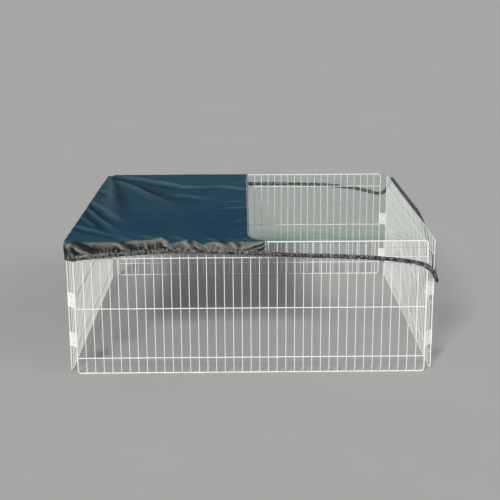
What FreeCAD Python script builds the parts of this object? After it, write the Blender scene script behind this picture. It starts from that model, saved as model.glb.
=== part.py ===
import FreeCAD, Part
import math
import os

import Sketcher
from FreeCAD import Placement, Rotation, Vector

# Folding square pet run: four welded wire panels joined by riveted sheet clips, under a
# fitted cover that is half shade cloth and half net, with an elastic hem all round.
# The frame is +Z up with the origin on the ground in the middle of the run. The front is -Y.

# Driving sizes in millimetres, and counts
SIZES = {
    # wire panels
    "wire_pitch": 29.2,
    "gap_count": 40,
    "panel_height": 457,
    "frame_wire": 4.0,
    "frame_bend": 10.0,
    "upright_wire": 2.5,
    "upright_overhang": 0.6,
    "cross_wire": 3.2,
    "edge_band": 55,
    "weld_bite": 0.3,
    # corner clips and their rivets
    "clip_link": 36,
    "clip_height": 50,
    "clip_sheet": 0.8,
    "clip_slit": 0.2,
    "clip_seam_offset": 8,
    "clip_seat": 0.4,
    "pivot_clearance": 0.2,
    "rivet_pitch": 25,
    "rivet_shank": 3.0,
    "rivet_clearance": 0.1,
    "rivet_head": 5.6,
    "rivet_head_height": 1.0,
    "front_left_upper_lift": 1,
    "front_left_lower_lift": 36,
    "front_right_upper_lift": 34,
    "front_right_lower_lift": 33,
    "back_right_upper_lift": 1,
    "back_right_lower_lift": 13,
    "back_left_upper_lift": 16,
    "back_left_lower_lift": 28,
    # cover cloth, net and seam tape, and how far the shade's front skirt passes the seam
    "cloth": 0.8,
    "cloth_clearance": 0.3,
    "skirt_clearance": 0.6,
    "skirt_end_gap": 1.0,
    "fold_pitch": 52,
    "fold_top": 1.2,
    "fold_bottom": 5.0,
    "net_clearance": 0.4,
    "net_pitch": 50,
    "net_strand": 1.6,
    "net_end_gap": 16,
    "net_least_drop": 8,
    "net_skirt_rows": 2,
    "tape_width": 10,
    "seam_flare": 45,
    # elastic hem: its width, its corners and how far its axis lies below the panel tops
    "hem_width": 16,
    "hem_clearance": 4,
    "hem_corner": 22,
    "elastic_cord": 5,
    "elastic_clearance": 0.4,
    "skirt_drop": 44,
    "front_near_drop": 48,
    "front_far_drop": 60,
    "front_end_drop": 78,
    "front_corner_drop": 98,
    "right_corner_drop": 166,
    "right_low_drop": 150,
    "right_rise_drop": 84,
    "right_ease_drop": 28,
    "right_ride": 2,
    "right_fall_drop": 16,
    "back_turn_drop": 48,
    "back_corner_drop": 100,
    "back_far_drop": 72,
    "back_near_drop": 52,
}

# Sizes worked out from the driving ones
WORKED = {
    "half_height": "panel_height / 2",
    "half_span": "wire_pitch * gap_count / 2",
    "panel_line": "half_span + clip_link / sqrt(2)",
    "frame_rise": "(panel_height - frame_wire) / 2",
    "frame_straight_rise": "frame_rise - frame_bend",
    "frame_straight_span": "half_span - frame_bend",
    "upright_inset": "(frame_wire + upright_wire) / 2 - weld_bite",
    "upright_length": "2 * (frame_rise + upright_overhang)",
    "upright_start": "half_span - wire_pitch",
    "upright_run": "wire_pitch * (gap_count - 2)",
    "cross_inset": "upright_inset - (upright_wire + cross_wire) / 2 + weld_bite",
    "cross_rise": "half_height - edge_band",
    "cross_length": "2 * half_span - frame_wire + 2 * weld_bite",
    "corner_line": "(half_span + panel_line) / 2",
    "clip_half_link": "clip_link / 2",
    "clip_eye_bore": "frame_wire + 2 * pivot_clearance",
    "clip_eye_outer": "clip_eye_bore + 2 * clip_sheet",
    "clip_half_slit": "clip_slit / 2",
    "clip_half_web": "clip_half_slit + clip_sheet",
    "clip_seam_far": "clip_seam_offset + clip_slit",
    "lower_shelf": "edge_band + cross_wire / 2 + clip_seat + clip_height / 2",
    "upper_shelf": "half_height + cross_wire / 2 + clip_seat + clip_height / 2",
    "rivet_half_pitch": "rivet_pitch / 2",
    "rivet_hole": "rivet_shank + 2 * rivet_clearance",
    "rivet_end": "clip_half_web + rivet_head_height",
    "cover_base": "panel_height + cloth_clearance",
    "skirt_line": "panel_line + frame_wire / 2 + skirt_clearance + fold_bottom",
    "shade_reach": "skirt_line + fold_top + cloth",
    "net_line": "panel_line + frame_wire / 2 + net_clearance",
    "net_reach": "net_line + cloth",
    "hem_line": "panel_line + frame_wire / 2 + hem_clearance + hem_width / 2",
    "hem_turn": "hem_line - hem_corner",
}

# Sides and corners in order round the run, each a quarter turn from the one before
SIDES = ("front", "right", "back", "left")
CORNERS = ("front_right", "back_right", "back_left", "front_left")
QUARTER = 90
PANEL_SIGNS = {"front": ("y", "-"), "right": ("x", ""), "back": ("y", ""), "left": ("x", "-")}
CORNER_SIGNS = {
    "front_right": ("", "-"),
    "back_right": ("", ""),
    "back_left": ("-", ""),
    "front_left": ("-", "-"),
}

# Depth of each fold of the skirt in turn, as shares of its full depth
FOLD_SHARES = (0.55, 1.0, 0.7, 0.9, 0.5, 0.85, 0.65)

# Route of the hem under the net: side, place along it as a share of the half side, and drop
NET_HEM_SHARES = (
    (0, 0.0, "skirt_drop"),
    (0, 0.2, "skirt_drop"),
    (0, 0.5, "front_near_drop"),
    (0, 0.76, "front_far_drop"),
    (0, 0.92, "front_end_drop"),
    (0, 1.0, "front_corner_drop"),
    (1, -1.0, "right_corner_drop"),
    (1, -0.9, "right_low_drop"),
    (1, -0.76, "right_rise_drop"),
    (1, -0.56, "right_ease_drop"),
    (1, -0.3, "right_top"),
    (1, 0.75, "right_top"),
    (1, 0.9, "right_fall_drop"),
    (1, 1.0, "back_turn_drop"),
    (2, -1.0, "back_corner_drop"),
    (2, -0.86, "back_far_drop"),
    (2, -0.62, "back_near_drop"),
    (2, -0.3, "skirt_drop"),
    (2, 0.0, "skirt_drop"),
)
# Route of the hem under the shade, the same way
SHADE_HEM_SHARES = (
    (2, 0.0, "skirt_drop"),
    (2, 1.0, "skirt_drop"),
    (3, -1.0, "skirt_drop"),
    (3, 1.0, "skirt_drop"),
    (4, -1.0, "skirt_drop"),
    (4, 0.0, "skirt_drop"),
)
# Share of the shorter run beside a bend that its arc takes up
BEND_SHARE = 0.45
# Turn in radians below which two runs are one straight run
LEAST_TURN = 1e-6

doc = FreeCAD.newDocument("PetRun")
sheet = doc.addObject("Spreadsheet::Sheet", "Sizes")
nodes = []


def fill_sheet():
    """Write the driving sizes and the sizes worked out from them, each under its alias."""
    row = 0
    for alias, number in SIZES.items():
        row += 1
        sheet.set(f"A{row}", alias)
        sheet.set(f"B{row}", str(number))
        sheet.setAlias(f"B{row}", alias)
    for alias, formula in WORKED.items():
        row += 1
        sheet.set(f"A{row}", alias)
        sheet.set(f"B{row}", "=" + formula)
        sheet.setAlias(f"B{row}", alias)
    doc.recompute()


def size(alias):
    """Number held under an alias of the sheet."""
    return float(sheet.get(alias))


# Sketch helpers


def new_body(label):
    """Empty body that becomes the node of that name."""
    body = doc.addObject("PartDesign::Body", label)
    body.Label = label
    body.AllowCompound = True
    nodes.append(body)
    return body


def new_sketch(body, name, role):
    """Sketch on one of the body's own origin planes."""
    sketch = body.newObject("Sketcher::SketchObject", name)
    plane = next(f for f in body.Origin.OriginFeatures if f.Role == role)
    sketch.AttachmentSupport = [(plane, "")]
    sketch.MapMode = "FlatFace"
    return sketch


def bind(sketch, constraint, alias):
    """Add a constraint whose value follows an alias of the sheet."""
    index = sketch.addConstraint(constraint)
    sketch.setExpression(f"Constraints[{index}]", f"Sizes.{alias}")


def place_point(sketch, geometry, point, axis, sign, alias):
    """Hold a point at a signed distance from the sketch origin, or on the axis if sign is 0."""
    if sign == 0:
        crossing = -2 if axis == "X" else -1
        sketch.addConstraint(Sketcher.Constraint("PointOnObject", geometry, point, crossing))
        return
    ends = (-1, 1, geometry, point) if sign > 0 else (geometry, point, -1, 1)
    bind(sketch, Sketcher.Constraint(f"Distance{axis}", *ends, size(alias)), alias)


def add_circle(sketch, diameter, x_sign=0, x_alias=None, y_sign=0, y_alias=None):
    """Circle of a named diameter at a named place."""
    x = x_sign * size(x_alias) if x_sign else 0
    y = y_sign * size(y_alias) if y_sign else 0
    circle = Part.Circle(Vector(x, y, 0), Vector(0, 0, 1), size(diameter) / 2)
    index = sketch.addGeometry(circle, False)
    bind(sketch, Sketcher.Constraint("Diameter", index, size(diameter)), diameter)
    place_point(sketch, index, 3, "X", x_sign, x_alias)
    place_point(sketch, index, 3, "Y", y_sign, y_alias)


def add_rectangle(sketch, left, right, low, high):
    """Rectangle whose four edges are each a sign and a named distance from the origin."""
    x0, x1, y0, y1 = (sign * size(alias) for sign, alias in (left, right, low, high))
    points = [Vector(x0, y0, 0), Vector(x1, y0, 0), Vector(x1, y1, 0), Vector(x0, y1, 0)]
    first = sketch.GeometryCount
    for start, end in zip(points, points[1:] + points[:1]):
        sketch.addGeometry(Part.LineSegment(start, end), False)
    for step in range(4):
        following = first + (step + 1) % 4
        sketch.addConstraint(Sketcher.Constraint("Coincident", first + step, 2, following, 1))
        direction = "Vertical" if step % 2 else "Horizontal"
        sketch.addConstraint(Sketcher.Constraint(direction, first + step))
    place_point(sketch, first, 1, "X", *left)
    place_point(sketch, first, 1, "Y", *low)
    place_point(sketch, first + 2, 1, "X", *right)
    place_point(sketch, first + 2, 1, "Y", *high)


def add_pad(body, sketch, length):
    """Pad of a named length, half of it to each side of the sketch."""
    pad = body.newObject("PartDesign::Pad", sketch.Name + "_pad")
    pad.Profile = sketch
    pad.SideType = "Symmetric"
    pad.setExpression("Length", length)
    doc.recompute()


def add_cut(body, sketch):
    """Pocket right through the body, to both sides of the sketch."""
    before = body.Shape.Volume
    pocket = body.newObject("PartDesign::Pocket", sketch.Name + "_cut")
    pocket.Profile = sketch
    pocket.SideType = "Symmetric"
    pocket.Type = "ThroughAll"
    doc.recompute()
    if not body.Shape.Volume < before:
        raise RuntimeError(f"{body.Label}: {sketch.Name} cuts nothing")


# Wire panels


def place_on_side(body, side, inset):
    """Stand a body on one side of the run, a named distance inside the panel line."""
    axis, sign = PANEL_SIGNS[side]
    body.Placement = Placement(Vector(), Rotation(Vector(0, 0, 1), QUARTER * SIDES.index(side)))
    line = f"Sizes.panel_line - Sizes.{inset}" if inset else "Sizes.panel_line"
    body.setExpression(f"Placement.Base.{axis}", f"{sign}({line})")
    body.setExpression("Placement.Base.z", "Sizes.half_height")


def panel_frame(side):
    """Closed frame of one bent wire, whose two end uprights are the hinge axles."""
    body = new_body(f"{side}_frame")
    ends = new_sketch(body, f"{side}_ends", "XY_Plane")
    rails = new_sketch(body, f"{side}_rails", "YZ_Plane")
    for sign in (-1, 1):
        add_circle(ends, "frame_wire", x_sign=sign, x_alias="half_span")
        add_circle(rails, "frame_wire", y_sign=sign, y_alias="frame_rise")
    add_pad(body, ends, "2 * Sizes.frame_straight_rise")
    add_pad(body, rails, "2 * Sizes.frame_straight_span")
    for sign in (-1, 1):
        for up in (-1, 1):
            frame_corner(body, side, sign, up)
    place_on_side(body, side, None)


def frame_corner(body, side, sign, up):
    """Quarter bend of the frame wire at one corner of a panel."""
    name = f"{side}_bend_{'right' if sign > 0 else 'left'}_{'top' if up > 0 else 'bottom'}"
    sketch = new_sketch(body, name, "XY_Plane")
    sketch.setExpression("AttachmentOffset.Base.z", f"{up} * Sizes.frame_straight_rise")
    add_circle(sketch, "frame_wire", x_sign=sign, x_alias="half_span")
    centre = sign * size("frame_straight_span")
    reach = size("frame_wire")
    axis = Part.LineSegment(Vector(centre, -reach, 0), Vector(centre, reach, 0))
    line = sketch.addGeometry(axis, True)
    sketch.addConstraint(Sketcher.Constraint("Vertical", line))
    place_point(sketch, line, 1, "X", sign, "frame_straight_span")
    place_point(sketch, line, 1, "Y", -1, "frame_wire")
    place_point(sketch, line, 2, "Y", 1, "frame_wire")
    bend = body.newObject("PartDesign::Revolution", name + "_turn")
    bend.Profile = sketch
    bend.ReferenceAxis = (sketch, ["Axis0"])
    bend.Angle = QUARTER
    bend.Reversed = sign * up > 0
    doc.recompute()


def panel_uprights(side):
    """Thin uprights between the two end uprights, welded to the inner side of the frame."""
    body = new_body(f"{side}_uprights")
    sketch = new_sketch(body, f"{side}_upright", "XY_Plane")
    add_circle(sketch, "upright_wire", x_sign=-1, x_alias="upright_start")
    add_pad(body, sketch, "Sizes.upright_length")
    row = body.newObject("PartDesign::LinearPattern", f"{side}_upright_row")
    row.Originals = [body.Tip]
    row.Direction = (sketch, ["H_Axis"])
    row.setExpression("Length", "Sizes.upright_run")
    row.setExpression("Occurrences", "Sizes.gap_count - 1")
    body.Tip = row
    doc.recompute()
    place_on_side(body, side, "upright_inset")


def panel_cross_wires(side):
    """Three level wires across the uprights, butted to the end uprights."""
    body = new_body(f"{side}_cross_wires")
    sketch = new_sketch(body, f"{side}_crossings", "YZ_Plane")
    for sign in (-1, 0, 1):
        add_circle(sketch, "cross_wire", y_sign=sign, y_alias="cross_rise")
    add_pad(body, sketch, "Sizes.cross_length")
    place_on_side(body, side, "cross_inset")


# Corner clips


def place_at_corner(body, corner, level):
    """Stand a body across one corner, on its shelf above a cross wire."""
    x_sign, y_sign = CORNER_SIGNS[corner]
    turn = QUARTER / 2 + QUARTER * CORNERS.index(corner)
    body.Placement = Placement(Vector(), Rotation(Vector(0, 0, 1), turn))
    body.setExpression("Placement.Base.x", f"{x_sign}(Sizes.corner_line)")
    body.setExpression("Placement.Base.y", f"{y_sign}(Sizes.corner_line)")
    height = f"Sizes.{level}_shelf + Sizes.{corner}_{level}_lift"
    body.setExpression("Placement.Base.z", height)


def corner_clip(corner, level):
    """Strip of sheet metal folded round two end uprights and pressed shut between them."""
    body = new_body(f"{corner}_{level}_clip")
    web = new_sketch(body, body.Name + "_web", "XY_Plane")
    ends = ((-1, "clip_half_link"), (1, "clip_half_link"))
    add_rectangle(web, *ends, (-1, "clip_half_web"), (1, "clip_half_web"))
    add_pad(body, web, "Sizes.clip_height")
    eyes = new_sketch(body, body.Name + "_eyes", "XY_Plane")
    bores = new_sketch(body, body.Name + "_bores", "XY_Plane")
    for sign in (-1, 1):
        add_circle(eyes, "clip_eye_outer", x_sign=sign, x_alias="clip_half_link")
        add_circle(bores, "clip_eye_bore", x_sign=sign, x_alias="clip_half_link")
    add_pad(body, eyes, "Sizes.clip_height")
    slit = new_sketch(body, body.Name + "_slit", "XY_Plane")
    add_rectangle(slit, *ends, (-1, "clip_half_slit"), (1, "clip_half_slit"))
    add_cut(body, slit)
    add_cut(body, bores)
    seam = new_sketch(body, body.Name + "_seam", "XY_Plane")
    edges = ((-1, "clip_seam_far"), (-1, "clip_seam_offset"))
    add_rectangle(seam, *edges, (1, "clip_half_slit"), (1, "clip_eye_outer"))
    add_cut(body, seam)
    holes = new_sketch(body, body.Name + "_holes", "XZ_Plane")
    for sign in (-1, 1):
        add_circle(holes, "rivet_hole", y_sign=sign, y_alias="rivet_half_pitch")
    add_cut(body, holes)
    place_at_corner(body, corner, level)


def clip_rivets(corner, level):
    """Two domed rivets, one above the other, that hold a clip's two leaves together."""
    body = new_body(f"{corner}_{level}_rivets")
    sketch = new_sketch(body, body.Name + "_profile", "XY_Plane")
    sketch.setExpression("AttachmentOffset.Base.z", "-Sizes.rivet_half_pitch")
    head = size("rivet_head") / 2
    shank = size("rivet_shank") / 2
    web = size("clip_half_web")
    end = size("rivet_end")
    radius = (head**2 + (end - web) ** 2) / (2 * (end - web))
    half_angle = math.asin(head / radius)
    quarter = math.pi / 2
    upper = Part.Circle(Vector(0, end - radius, 0), Vector(0, 0, 1), radius)
    lower = Part.Circle(Vector(0, radius - end, 0), Vector(0, 0, 1), radius)
    outline = (
        Part.LineSegment(Vector(0, -end, 0), Vector(0, end, 0)),
        Part.ArcOfCircle(upper, quarter - half_angle, quarter),
        Part.LineSegment(Vector(head, web, 0), Vector(shank, web, 0)),
        Part.LineSegment(Vector(shank, web, 0), Vector(shank, -web, 0)),
        Part.LineSegment(Vector(shank, -web, 0), Vector(head, -web, 0)),
        Part.ArcOfCircle(lower, -quarter, half_angle - quarter),
    )
    axis, top, upper_seat, side, lower_seat, bottom = (
        sketch.addGeometry(edge, False) for edge in outline
    )
    joins = (
        (axis, 2, top, 2),
        (top, 1, upper_seat, 1),
        (upper_seat, 2, side, 1),
        (side, 2, lower_seat, 1),
        (lower_seat, 2, bottom, 2),
        (bottom, 1, axis, 1),
    )
    for join in joins:
        sketch.addConstraint(Sketcher.Constraint("Coincident", *join))
    for level_edge in (upper_seat, lower_seat):
        sketch.addConstraint(Sketcher.Constraint("Horizontal", level_edge))
    for upright_edge in (axis, side):
        sketch.addConstraint(Sketcher.Constraint("Vertical", upright_edge))
    for dome in (top, bottom):
        sketch.addConstraint(Sketcher.Constraint("PointOnObject", dome, 3, -2))
    place_point(sketch, axis, 1, "X", 0, None)
    place_point(sketch, axis, 1, "Y", -1, "rivet_end")
    place_point(sketch, axis, 2, "Y", 1, "rivet_end")
    place_point(sketch, side, 1, "Y", 1, "clip_half_web")
    place_point(sketch, side, 2, "Y", -1, "clip_half_web")
    for seat, point in ((upper_seat, 1), (lower_seat, 2)):
        index = sketch.addConstraint(Sketcher.Constraint("DistanceX", -1, 1, seat, point, head))
        sketch.setExpression(f"Constraints[{index}]", "Sizes.rivet_head / 2")
    index = sketch.addConstraint(Sketcher.Constraint("DistanceX", -1, 1, side, 1, shank))
    sketch.setExpression(f"Constraints[{index}]", "Sizes.rivet_shank / 2")
    turn = body.newObject("PartDesign::Revolution", body.Name + "_turn")
    turn.Profile = sketch
    turn.ReferenceAxis = (sketch, ["V_Axis"])
    doc.recompute()
    pair = body.newObject("PartDesign::LinearPattern", body.Name + "_pair")
    pair.Originals = [turn]
    pair.Direction = (sketch, ["N_Axis"])
    pair.setExpression("Length", "Sizes.rivet_pitch")
    pair.Occurrences = 2
    body.Tip = pair
    doc.recompute()
    place_at_corner(body, corner, level)


# Cover


def new_feature(label, shape, turn=0):
    """Node whose shape is set directly, then turned about the middle of the run."""
    feature = doc.addObject("Part::Feature", label)
    feature.Label = label
    feature.Shape = shape
    feature.Placement = Placement(Vector(), Rotation(Vector(0, 0, 1), turn))
    nodes.append(feature)
    return feature


def flat_strip(label, left, front, base, width, length):
    """Flat rectangle of cloth, placed and sized by expressions of the sheet."""
    strip = doc.addObject("Part::Box", label)
    strip.Label = label
    strip.setExpression("Placement.Base.x", left)
    strip.setExpression("Placement.Base.y", front)
    strip.setExpression("Placement.Base.z", base)
    strip.setExpression("Length", width)
    strip.setExpression("Width", length)
    strip.setExpression("Height", "Sizes.cloth")
    nodes.append(strip)


def fold_line(start, count, pitch, line, depth, height):
    """Points of a wavy line of folds: each fold end, and the crest or hollow between."""
    points = [Vector(start, -line, height)]
    for fold in range(count):
        share = FOLD_SHARES[fold % len(FOLD_SHARES)]
        out = depth * share if fold % 2 else -depth * share
        middle = start + (fold + 0.5) * pitch
        points.append(Vector(middle, -line - out, height))
        points.append(Vector(start + (fold + 1) * pitch, -line, height))
    return points


def fold_band(start, count, pitch, depth, height):
    """Closed outline of the cloth at one height: folds outside, folds inside, two ends."""
    line = size("skirt_line")
    inner = fold_line(start, count, pitch, line, depth, height)
    outer = fold_line(start, count, pitch, line + size("cloth"), depth, height)
    edges = [Part.LineSegment(outer[0], inner[0]).toShape()]
    for at in range(0, len(inner) - 1, 2):
        edges.append(Part.Arc(*inner[at:at + 3]).toShape())
    edges.append(Part.LineSegment(inner[-1], outer[-1]).toShape())
    outer.reverse()
    for at in range(0, len(outer) - 1, 2):
        edges.append(Part.Arc(*outer[at:at + 3]).toShape())
    return Part.Wire(edges)


def shade_skirt(label, side, start, end):
    """Hanging edge of the shade cloth, smooth at the top and folded where the hem draws it in."""
    folds = 2 * max(1, round((end - start) / size("fold_pitch")))
    pitch = (end - start) / folds
    top = size("cover_base")
    bottom = size("panel_height") - size("skirt_drop") + size("hem_width") / 2
    bands = [
        fold_band(start, folds, pitch, size("fold_top"), top),
        fold_band(start, folds, pitch, size("fold_bottom"), bottom + size("cloth_clearance")),
    ]
    new_feature(label, Part.makeLoft(bands, True, True), QUARTER * side)


def net_holes(bottoms, top, rows):
    """Corner points of the gaps of a net hung between a level top and a list of low points."""
    strand = size("net_strand")
    for (x0, low0), (x1, low1) in zip(bottoms, bottoms[1:]):
        for row in range(rows):
            upper = (top - (top - low0) * row / rows, top - (top - low1) * row / rows)
            under = (row + 1) / rows
            lower = (top - (top - low0) * under, top - (top - low1) * under)
            yield (
                (x0 + strand / 2, lower[0] + strand / 2),
                (x1 - strand / 2, lower[1] + strand / 2),
                (x1 - strand / 2, upper[1] - strand / 2),
                (x0 + strand / 2, upper[0] - strand / 2),
            )


def polygon(points, to_vector):
    """Closed wire through a list of flat points."""
    corners = [to_vector(*point) for point in points]
    return Part.makePolygon(corners + corners[:1])


def net_top():
    """Level half of the cover in net, as one holed face with a strand along each edge."""
    reach = size("net_reach")
    base = size("cover_base")
    strand = size("net_strand")
    across = max(1, round(reach / size("net_pitch")))
    along = max(1, round(2 * reach / size("net_pitch")))

    def level(x, y):
        return Vector(x, y, base)

    outline = ((0, -reach), (reach, -reach), (reach, reach), (0, reach))
    wires = [polygon(outline, level)]
    for column in range(across):
        left = reach * column / across + strand
        right = reach * (column + 1) / across - strand
        for row in range(along):
            front = -reach + 2 * reach * row / along + strand
            back = -reach + 2 * reach * (row + 1) / along - strand
            gap = ((left, front), (right, front), (right, back), (left, back))
            wires.append(polygon(gap, level))
    sheet_shape = Part.Face(wires, "Part::FaceMakerBullseye")
    new_feature("net_top", sheet_shape.extrude(Vector(0, 0, size("cloth"))))


def hem_low_points(side, start, end, count):
    """Places along a side and the height of the hem's axis at each, for the net that hangs to it."""
    route = [p for p in hem_points(NET_HEM_SHARES, "flat") if p[0] == side]
    ride = size("panel_height") - size("net_least_drop")
    points = []
    for step in range(count + 1):
        x = start + (end - start) * step / count
        (_, x0, z0), (_, x1, z1) = next(
            pair for pair in zip(route, route[1:]) if pair[0][1] <= x <= pair[1][1]
        )
        share = (x - x0) / (x1 - x0)
        points.append((x, min(z0 + (z1 - z0) * share, ride)))
    return points


def net_skirt(label, side, start, end):
    """Hanging edge of the net on one side, down to the hem's axis behind the hem."""
    top = size("panel_height")
    line = size("net_line")
    count = max(1, round((end - start) / size("net_pitch")))
    bottoms = hem_low_points(side, start, end, count)
    strand = size("net_strand")
    outline = [(start - strand / 2, top)]
    outline += [(bottoms[0][0] - strand / 2, bottoms[0][1])]
    outline += bottoms[1:-1]
    outline += [(bottoms[-1][0] + strand / 2, bottoms[-1][1])]
    outline += [(end + strand / 2, top)]

    def upright(x, z):
        return Vector(x, -line, z)

    wires = [polygon(outline, upright)]
    inner_top = top - strand / 2
    inner = [(x, low + strand / 2) for x, low in bottoms]
    rows = round(size("net_skirt_rows"))
    wires += [polygon(gap, upright) for gap in net_holes(inner, inner_top, rows)]
    face = Part.Face(wires, "Part::FaceMakerBullseye")
    new_feature(label, face.extrude(Vector(0, -size("cloth"), 0)), QUARTER * side)


# Elastic hem


def hem_points(route, form):
    """Points of a hem route, as points in space or as side, place along it and height."""
    turn = size("hem_turn")
    line = size("hem_line")
    points = []
    for side, share, drop in route:
        below = -size("right_ride") if drop == "right_top" else size(drop)
        height = size("panel_height") - below
        if form == "flat":
            points.append((side, turn * share, height))
        else:
            spin = Rotation(Vector(0, 0, 1), QUARTER * side)
            points.append(spin.multVec(Vector(turn * share, -line, height)))
    return points


def bent_edges(points):
    """Straight runs through points, joined by tangent arcs as large as the runs allow."""
    edges = []
    here = points[0]
    for before, corner, after in zip(points, points[1:], points[2:]):
        back = before - corner
        ahead = after - corner
        turn = math.pi - back.getAngle(ahead)
        if turn < LEAST_TURN:
            continue
        setback = BEND_SHARE * min(back.Length, ahead.Length)
        start = corner + back.normalize() * setback
        end = corner + ahead.normalize() * setback
        radius = setback / math.tan(turn / 2)
        middle = (back + ahead).normalize()
        centre_reach = setback / math.sin(turn / 2)
        crown = corner + middle * (centre_reach - radius)
        edges.append(Part.LineSegment(here, start).toShape())
        edges.append(Part.Arc(start, crown, end).toShape())
        here = end
    edges.append(Part.LineSegment(here, points[-1]).toShape())
    return edges


def ring(path, diameter):
    """Circle square to the start of a path."""
    first = path.Edges[0]
    centre = first.valueAt(first.FirstParameter)
    direction = first.tangentAt(first.FirstParameter)
    return Part.Wire(Part.makeCircle(diameter / 2, centre, direction))


def hem_casing(label, route):
    """Gathered cloth casing along one half of the hem, with a bore for the elastic."""
    path = Part.Wire(bent_edges(hem_points(route, "space")))
    bore = size("elastic_cord") + 2 * size("elastic_clearance")
    outside = path.makePipeShell([ring(path, size("hem_width"))], True, False)
    inside = path.makePipeShell([ring(path, bore)], True, False)
    casing = outside.cut(inside)
    section = math.pi * (size("hem_width") ** 2 - bore**2) / 4
    print(f"{label}: volume over section times length {casing.Volume / section / path.Length:.5f}")
    new_feature(label, casing)


def elastic_ring():
    """Elastic cord that runs round the whole hem, closed where its two halves meet."""
    halves = []
    length = 0
    for route in (NET_HEM_SHARES, SHADE_HEM_SHARES):
        path = Part.Wire(bent_edges(hem_points(route, "space")))
        halves.append(path.makePipeShell([ring(path, size("elastic_cord"))], True, False))
        length += path.Length
    cord = halves[0].fuse(halves[1]).removeSplitter()
    section = math.pi * size("elastic_cord") ** 2 / 4
    print(f"elastic_cord: volume over section times length {cord.Volume / section / length:.5f}")
    new_feature("elastic_cord", cord)


def cover():
    """All pieces of the cover, from the level halves down to the elastic."""
    reach = "Sizes.shade_reach"
    flat_strip("shade_top", f"-{reach}", f"-{reach}", "Sizes.cover_base", reach, f"2 * {reach}")
    flat_strip(
        "seam_tape",
        "-Sizes.tape_width / 2",
        "-Sizes.net_reach",
        "Sizes.cover_base + Sizes.cloth",
        "Sizes.tape_width",
        "2 * Sizes.net_reach",
    )
    corner = size("skirt_line") - size("fold_bottom")
    gap = size("skirt_end_gap")
    flare = size("seam_flare")
    shade_skirt("shade_skirt_front", 0, -corner, flare)
    shade_skirt("shade_skirt_left", 3, -corner, corner)
    shade_skirt("shade_skirt_back", 2, gap, corner)
    net_top()
    end = size("half_span") - size("net_end_gap")
    net_skirt("net_skirt_front", 0, flare + 2 * gap, end)
    net_skirt("net_skirt_right", 1, -end, end)
    net_skirt("net_skirt_back", 2, -end, -gap)
    hem_casing("hem_casing_net", NET_HEM_SHARES)
    hem_casing("hem_casing_shade", SHADE_HEM_SHARES)
    elastic_ring()


def check_and_write():
    """Stop on any failed object or shape, then write each node."""
    doc.recompute()
    for item in doc.Objects:
        if "Invalid" in item.State or "Error" in item.State:
            raise RuntimeError(f"{item.Label} did not build: {item.State}")
    for node in nodes:
        if node.Shape.isNull() or not node.Shape.isValid() or not node.Shape.Solids:
            raise RuntimeError(f"{node.Label} has no valid solid")
    os.makedirs("parts", exist_ok=True)
    for node in nodes:
        node.Shape.exportStep(f"parts/{node.Label}.step")
        print(node.Label, len(node.Shape.Solids), round(node.Shape.Volume))


fill_sheet()
for side_name in SIDES:
    panel_frame(side_name)
    panel_uprights(side_name)
    panel_cross_wires(side_name)
for corner_name in CORNERS:
    for level_name in ("upper", "lower"):
        corner_clip(corner_name, level_name)
        clip_rivets(corner_name, level_name)
cover()
check_and_write()
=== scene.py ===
"""Dresses the folding wire pet run: painted wire, riveted clips, shade cloth, net and elastic hem."""
import logging
import math
from contextlib import contextmanager
from dataclasses import dataclass, field
from enum import Enum
from typing import Any, Callable, Iterable, Iterator, Sequence

import bmesh
import bpy
from mathutils import Matrix, Vector, noise


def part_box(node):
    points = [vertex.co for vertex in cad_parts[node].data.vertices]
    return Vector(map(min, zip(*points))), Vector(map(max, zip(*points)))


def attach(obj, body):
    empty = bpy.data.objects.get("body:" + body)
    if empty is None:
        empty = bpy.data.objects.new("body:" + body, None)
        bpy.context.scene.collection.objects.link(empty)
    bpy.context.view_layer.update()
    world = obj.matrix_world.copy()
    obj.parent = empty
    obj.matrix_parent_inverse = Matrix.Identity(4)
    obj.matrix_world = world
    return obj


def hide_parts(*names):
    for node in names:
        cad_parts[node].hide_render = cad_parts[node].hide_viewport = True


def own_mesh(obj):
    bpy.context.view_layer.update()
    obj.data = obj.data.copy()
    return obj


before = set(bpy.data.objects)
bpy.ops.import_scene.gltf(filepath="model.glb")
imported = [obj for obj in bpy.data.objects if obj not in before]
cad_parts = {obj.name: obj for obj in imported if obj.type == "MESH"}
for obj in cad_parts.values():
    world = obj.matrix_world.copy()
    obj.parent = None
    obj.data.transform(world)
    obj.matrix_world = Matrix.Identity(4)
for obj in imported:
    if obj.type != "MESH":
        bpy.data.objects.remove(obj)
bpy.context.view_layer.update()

LOG = logging.getLogger("pet_run")
Colour = tuple[float, float, float, float]
Flat = tuple[float, float]
Placed = tuple[Vector, dict[str, float]]
Piece = bpy.types.Object
Paint = bpy.types.Material
Link = bpy.types.NodeSocket
# Metres within which a point counts as on the flat cover's edge
EDGE_ROOM = 0.0001
# Shares of a fold's run at which it starts and ends
FOLD_START = -0.15
FOLD_END = 1.05


class Side(Enum):
    """The run's four sides, by quarter turns from the front."""

    FRONT = 0
    RIGHT = 1
    BACK = 2
    LEFT = 3

    @property
    def label(self) -> str:
        """The side's name in the frame."""
        return self.name.lower()


class Half(Enum):
    """The cover's two halves."""

    SHADE = "shade"
    NET = "net"


class Level(Enum):
    """The two clips of a corner."""

    UPPER = "upper"
    LOWER = "lower"


class Socket(Enum):
    """What a socket of a shader group carries."""

    COLOUR = "NodeSocketColor"
    VALUE = "NodeSocketFloat"
    VECTOR = "NodeSocketVector"


def eased(share: float) -> float:
    """Eases a share from 0 to 1, held to that range."""
    share = min(1.0, max(0.0, share))
    return share * share * (3.0 - 2.0 * share)


def wander(x: float, y: float, layer: float) -> float:
    """Smooth uneven drift of about -0.6 to 0.6 over a plane, alike on every run."""
    return noise.noise(Vector((x, y, layer)))


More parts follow.
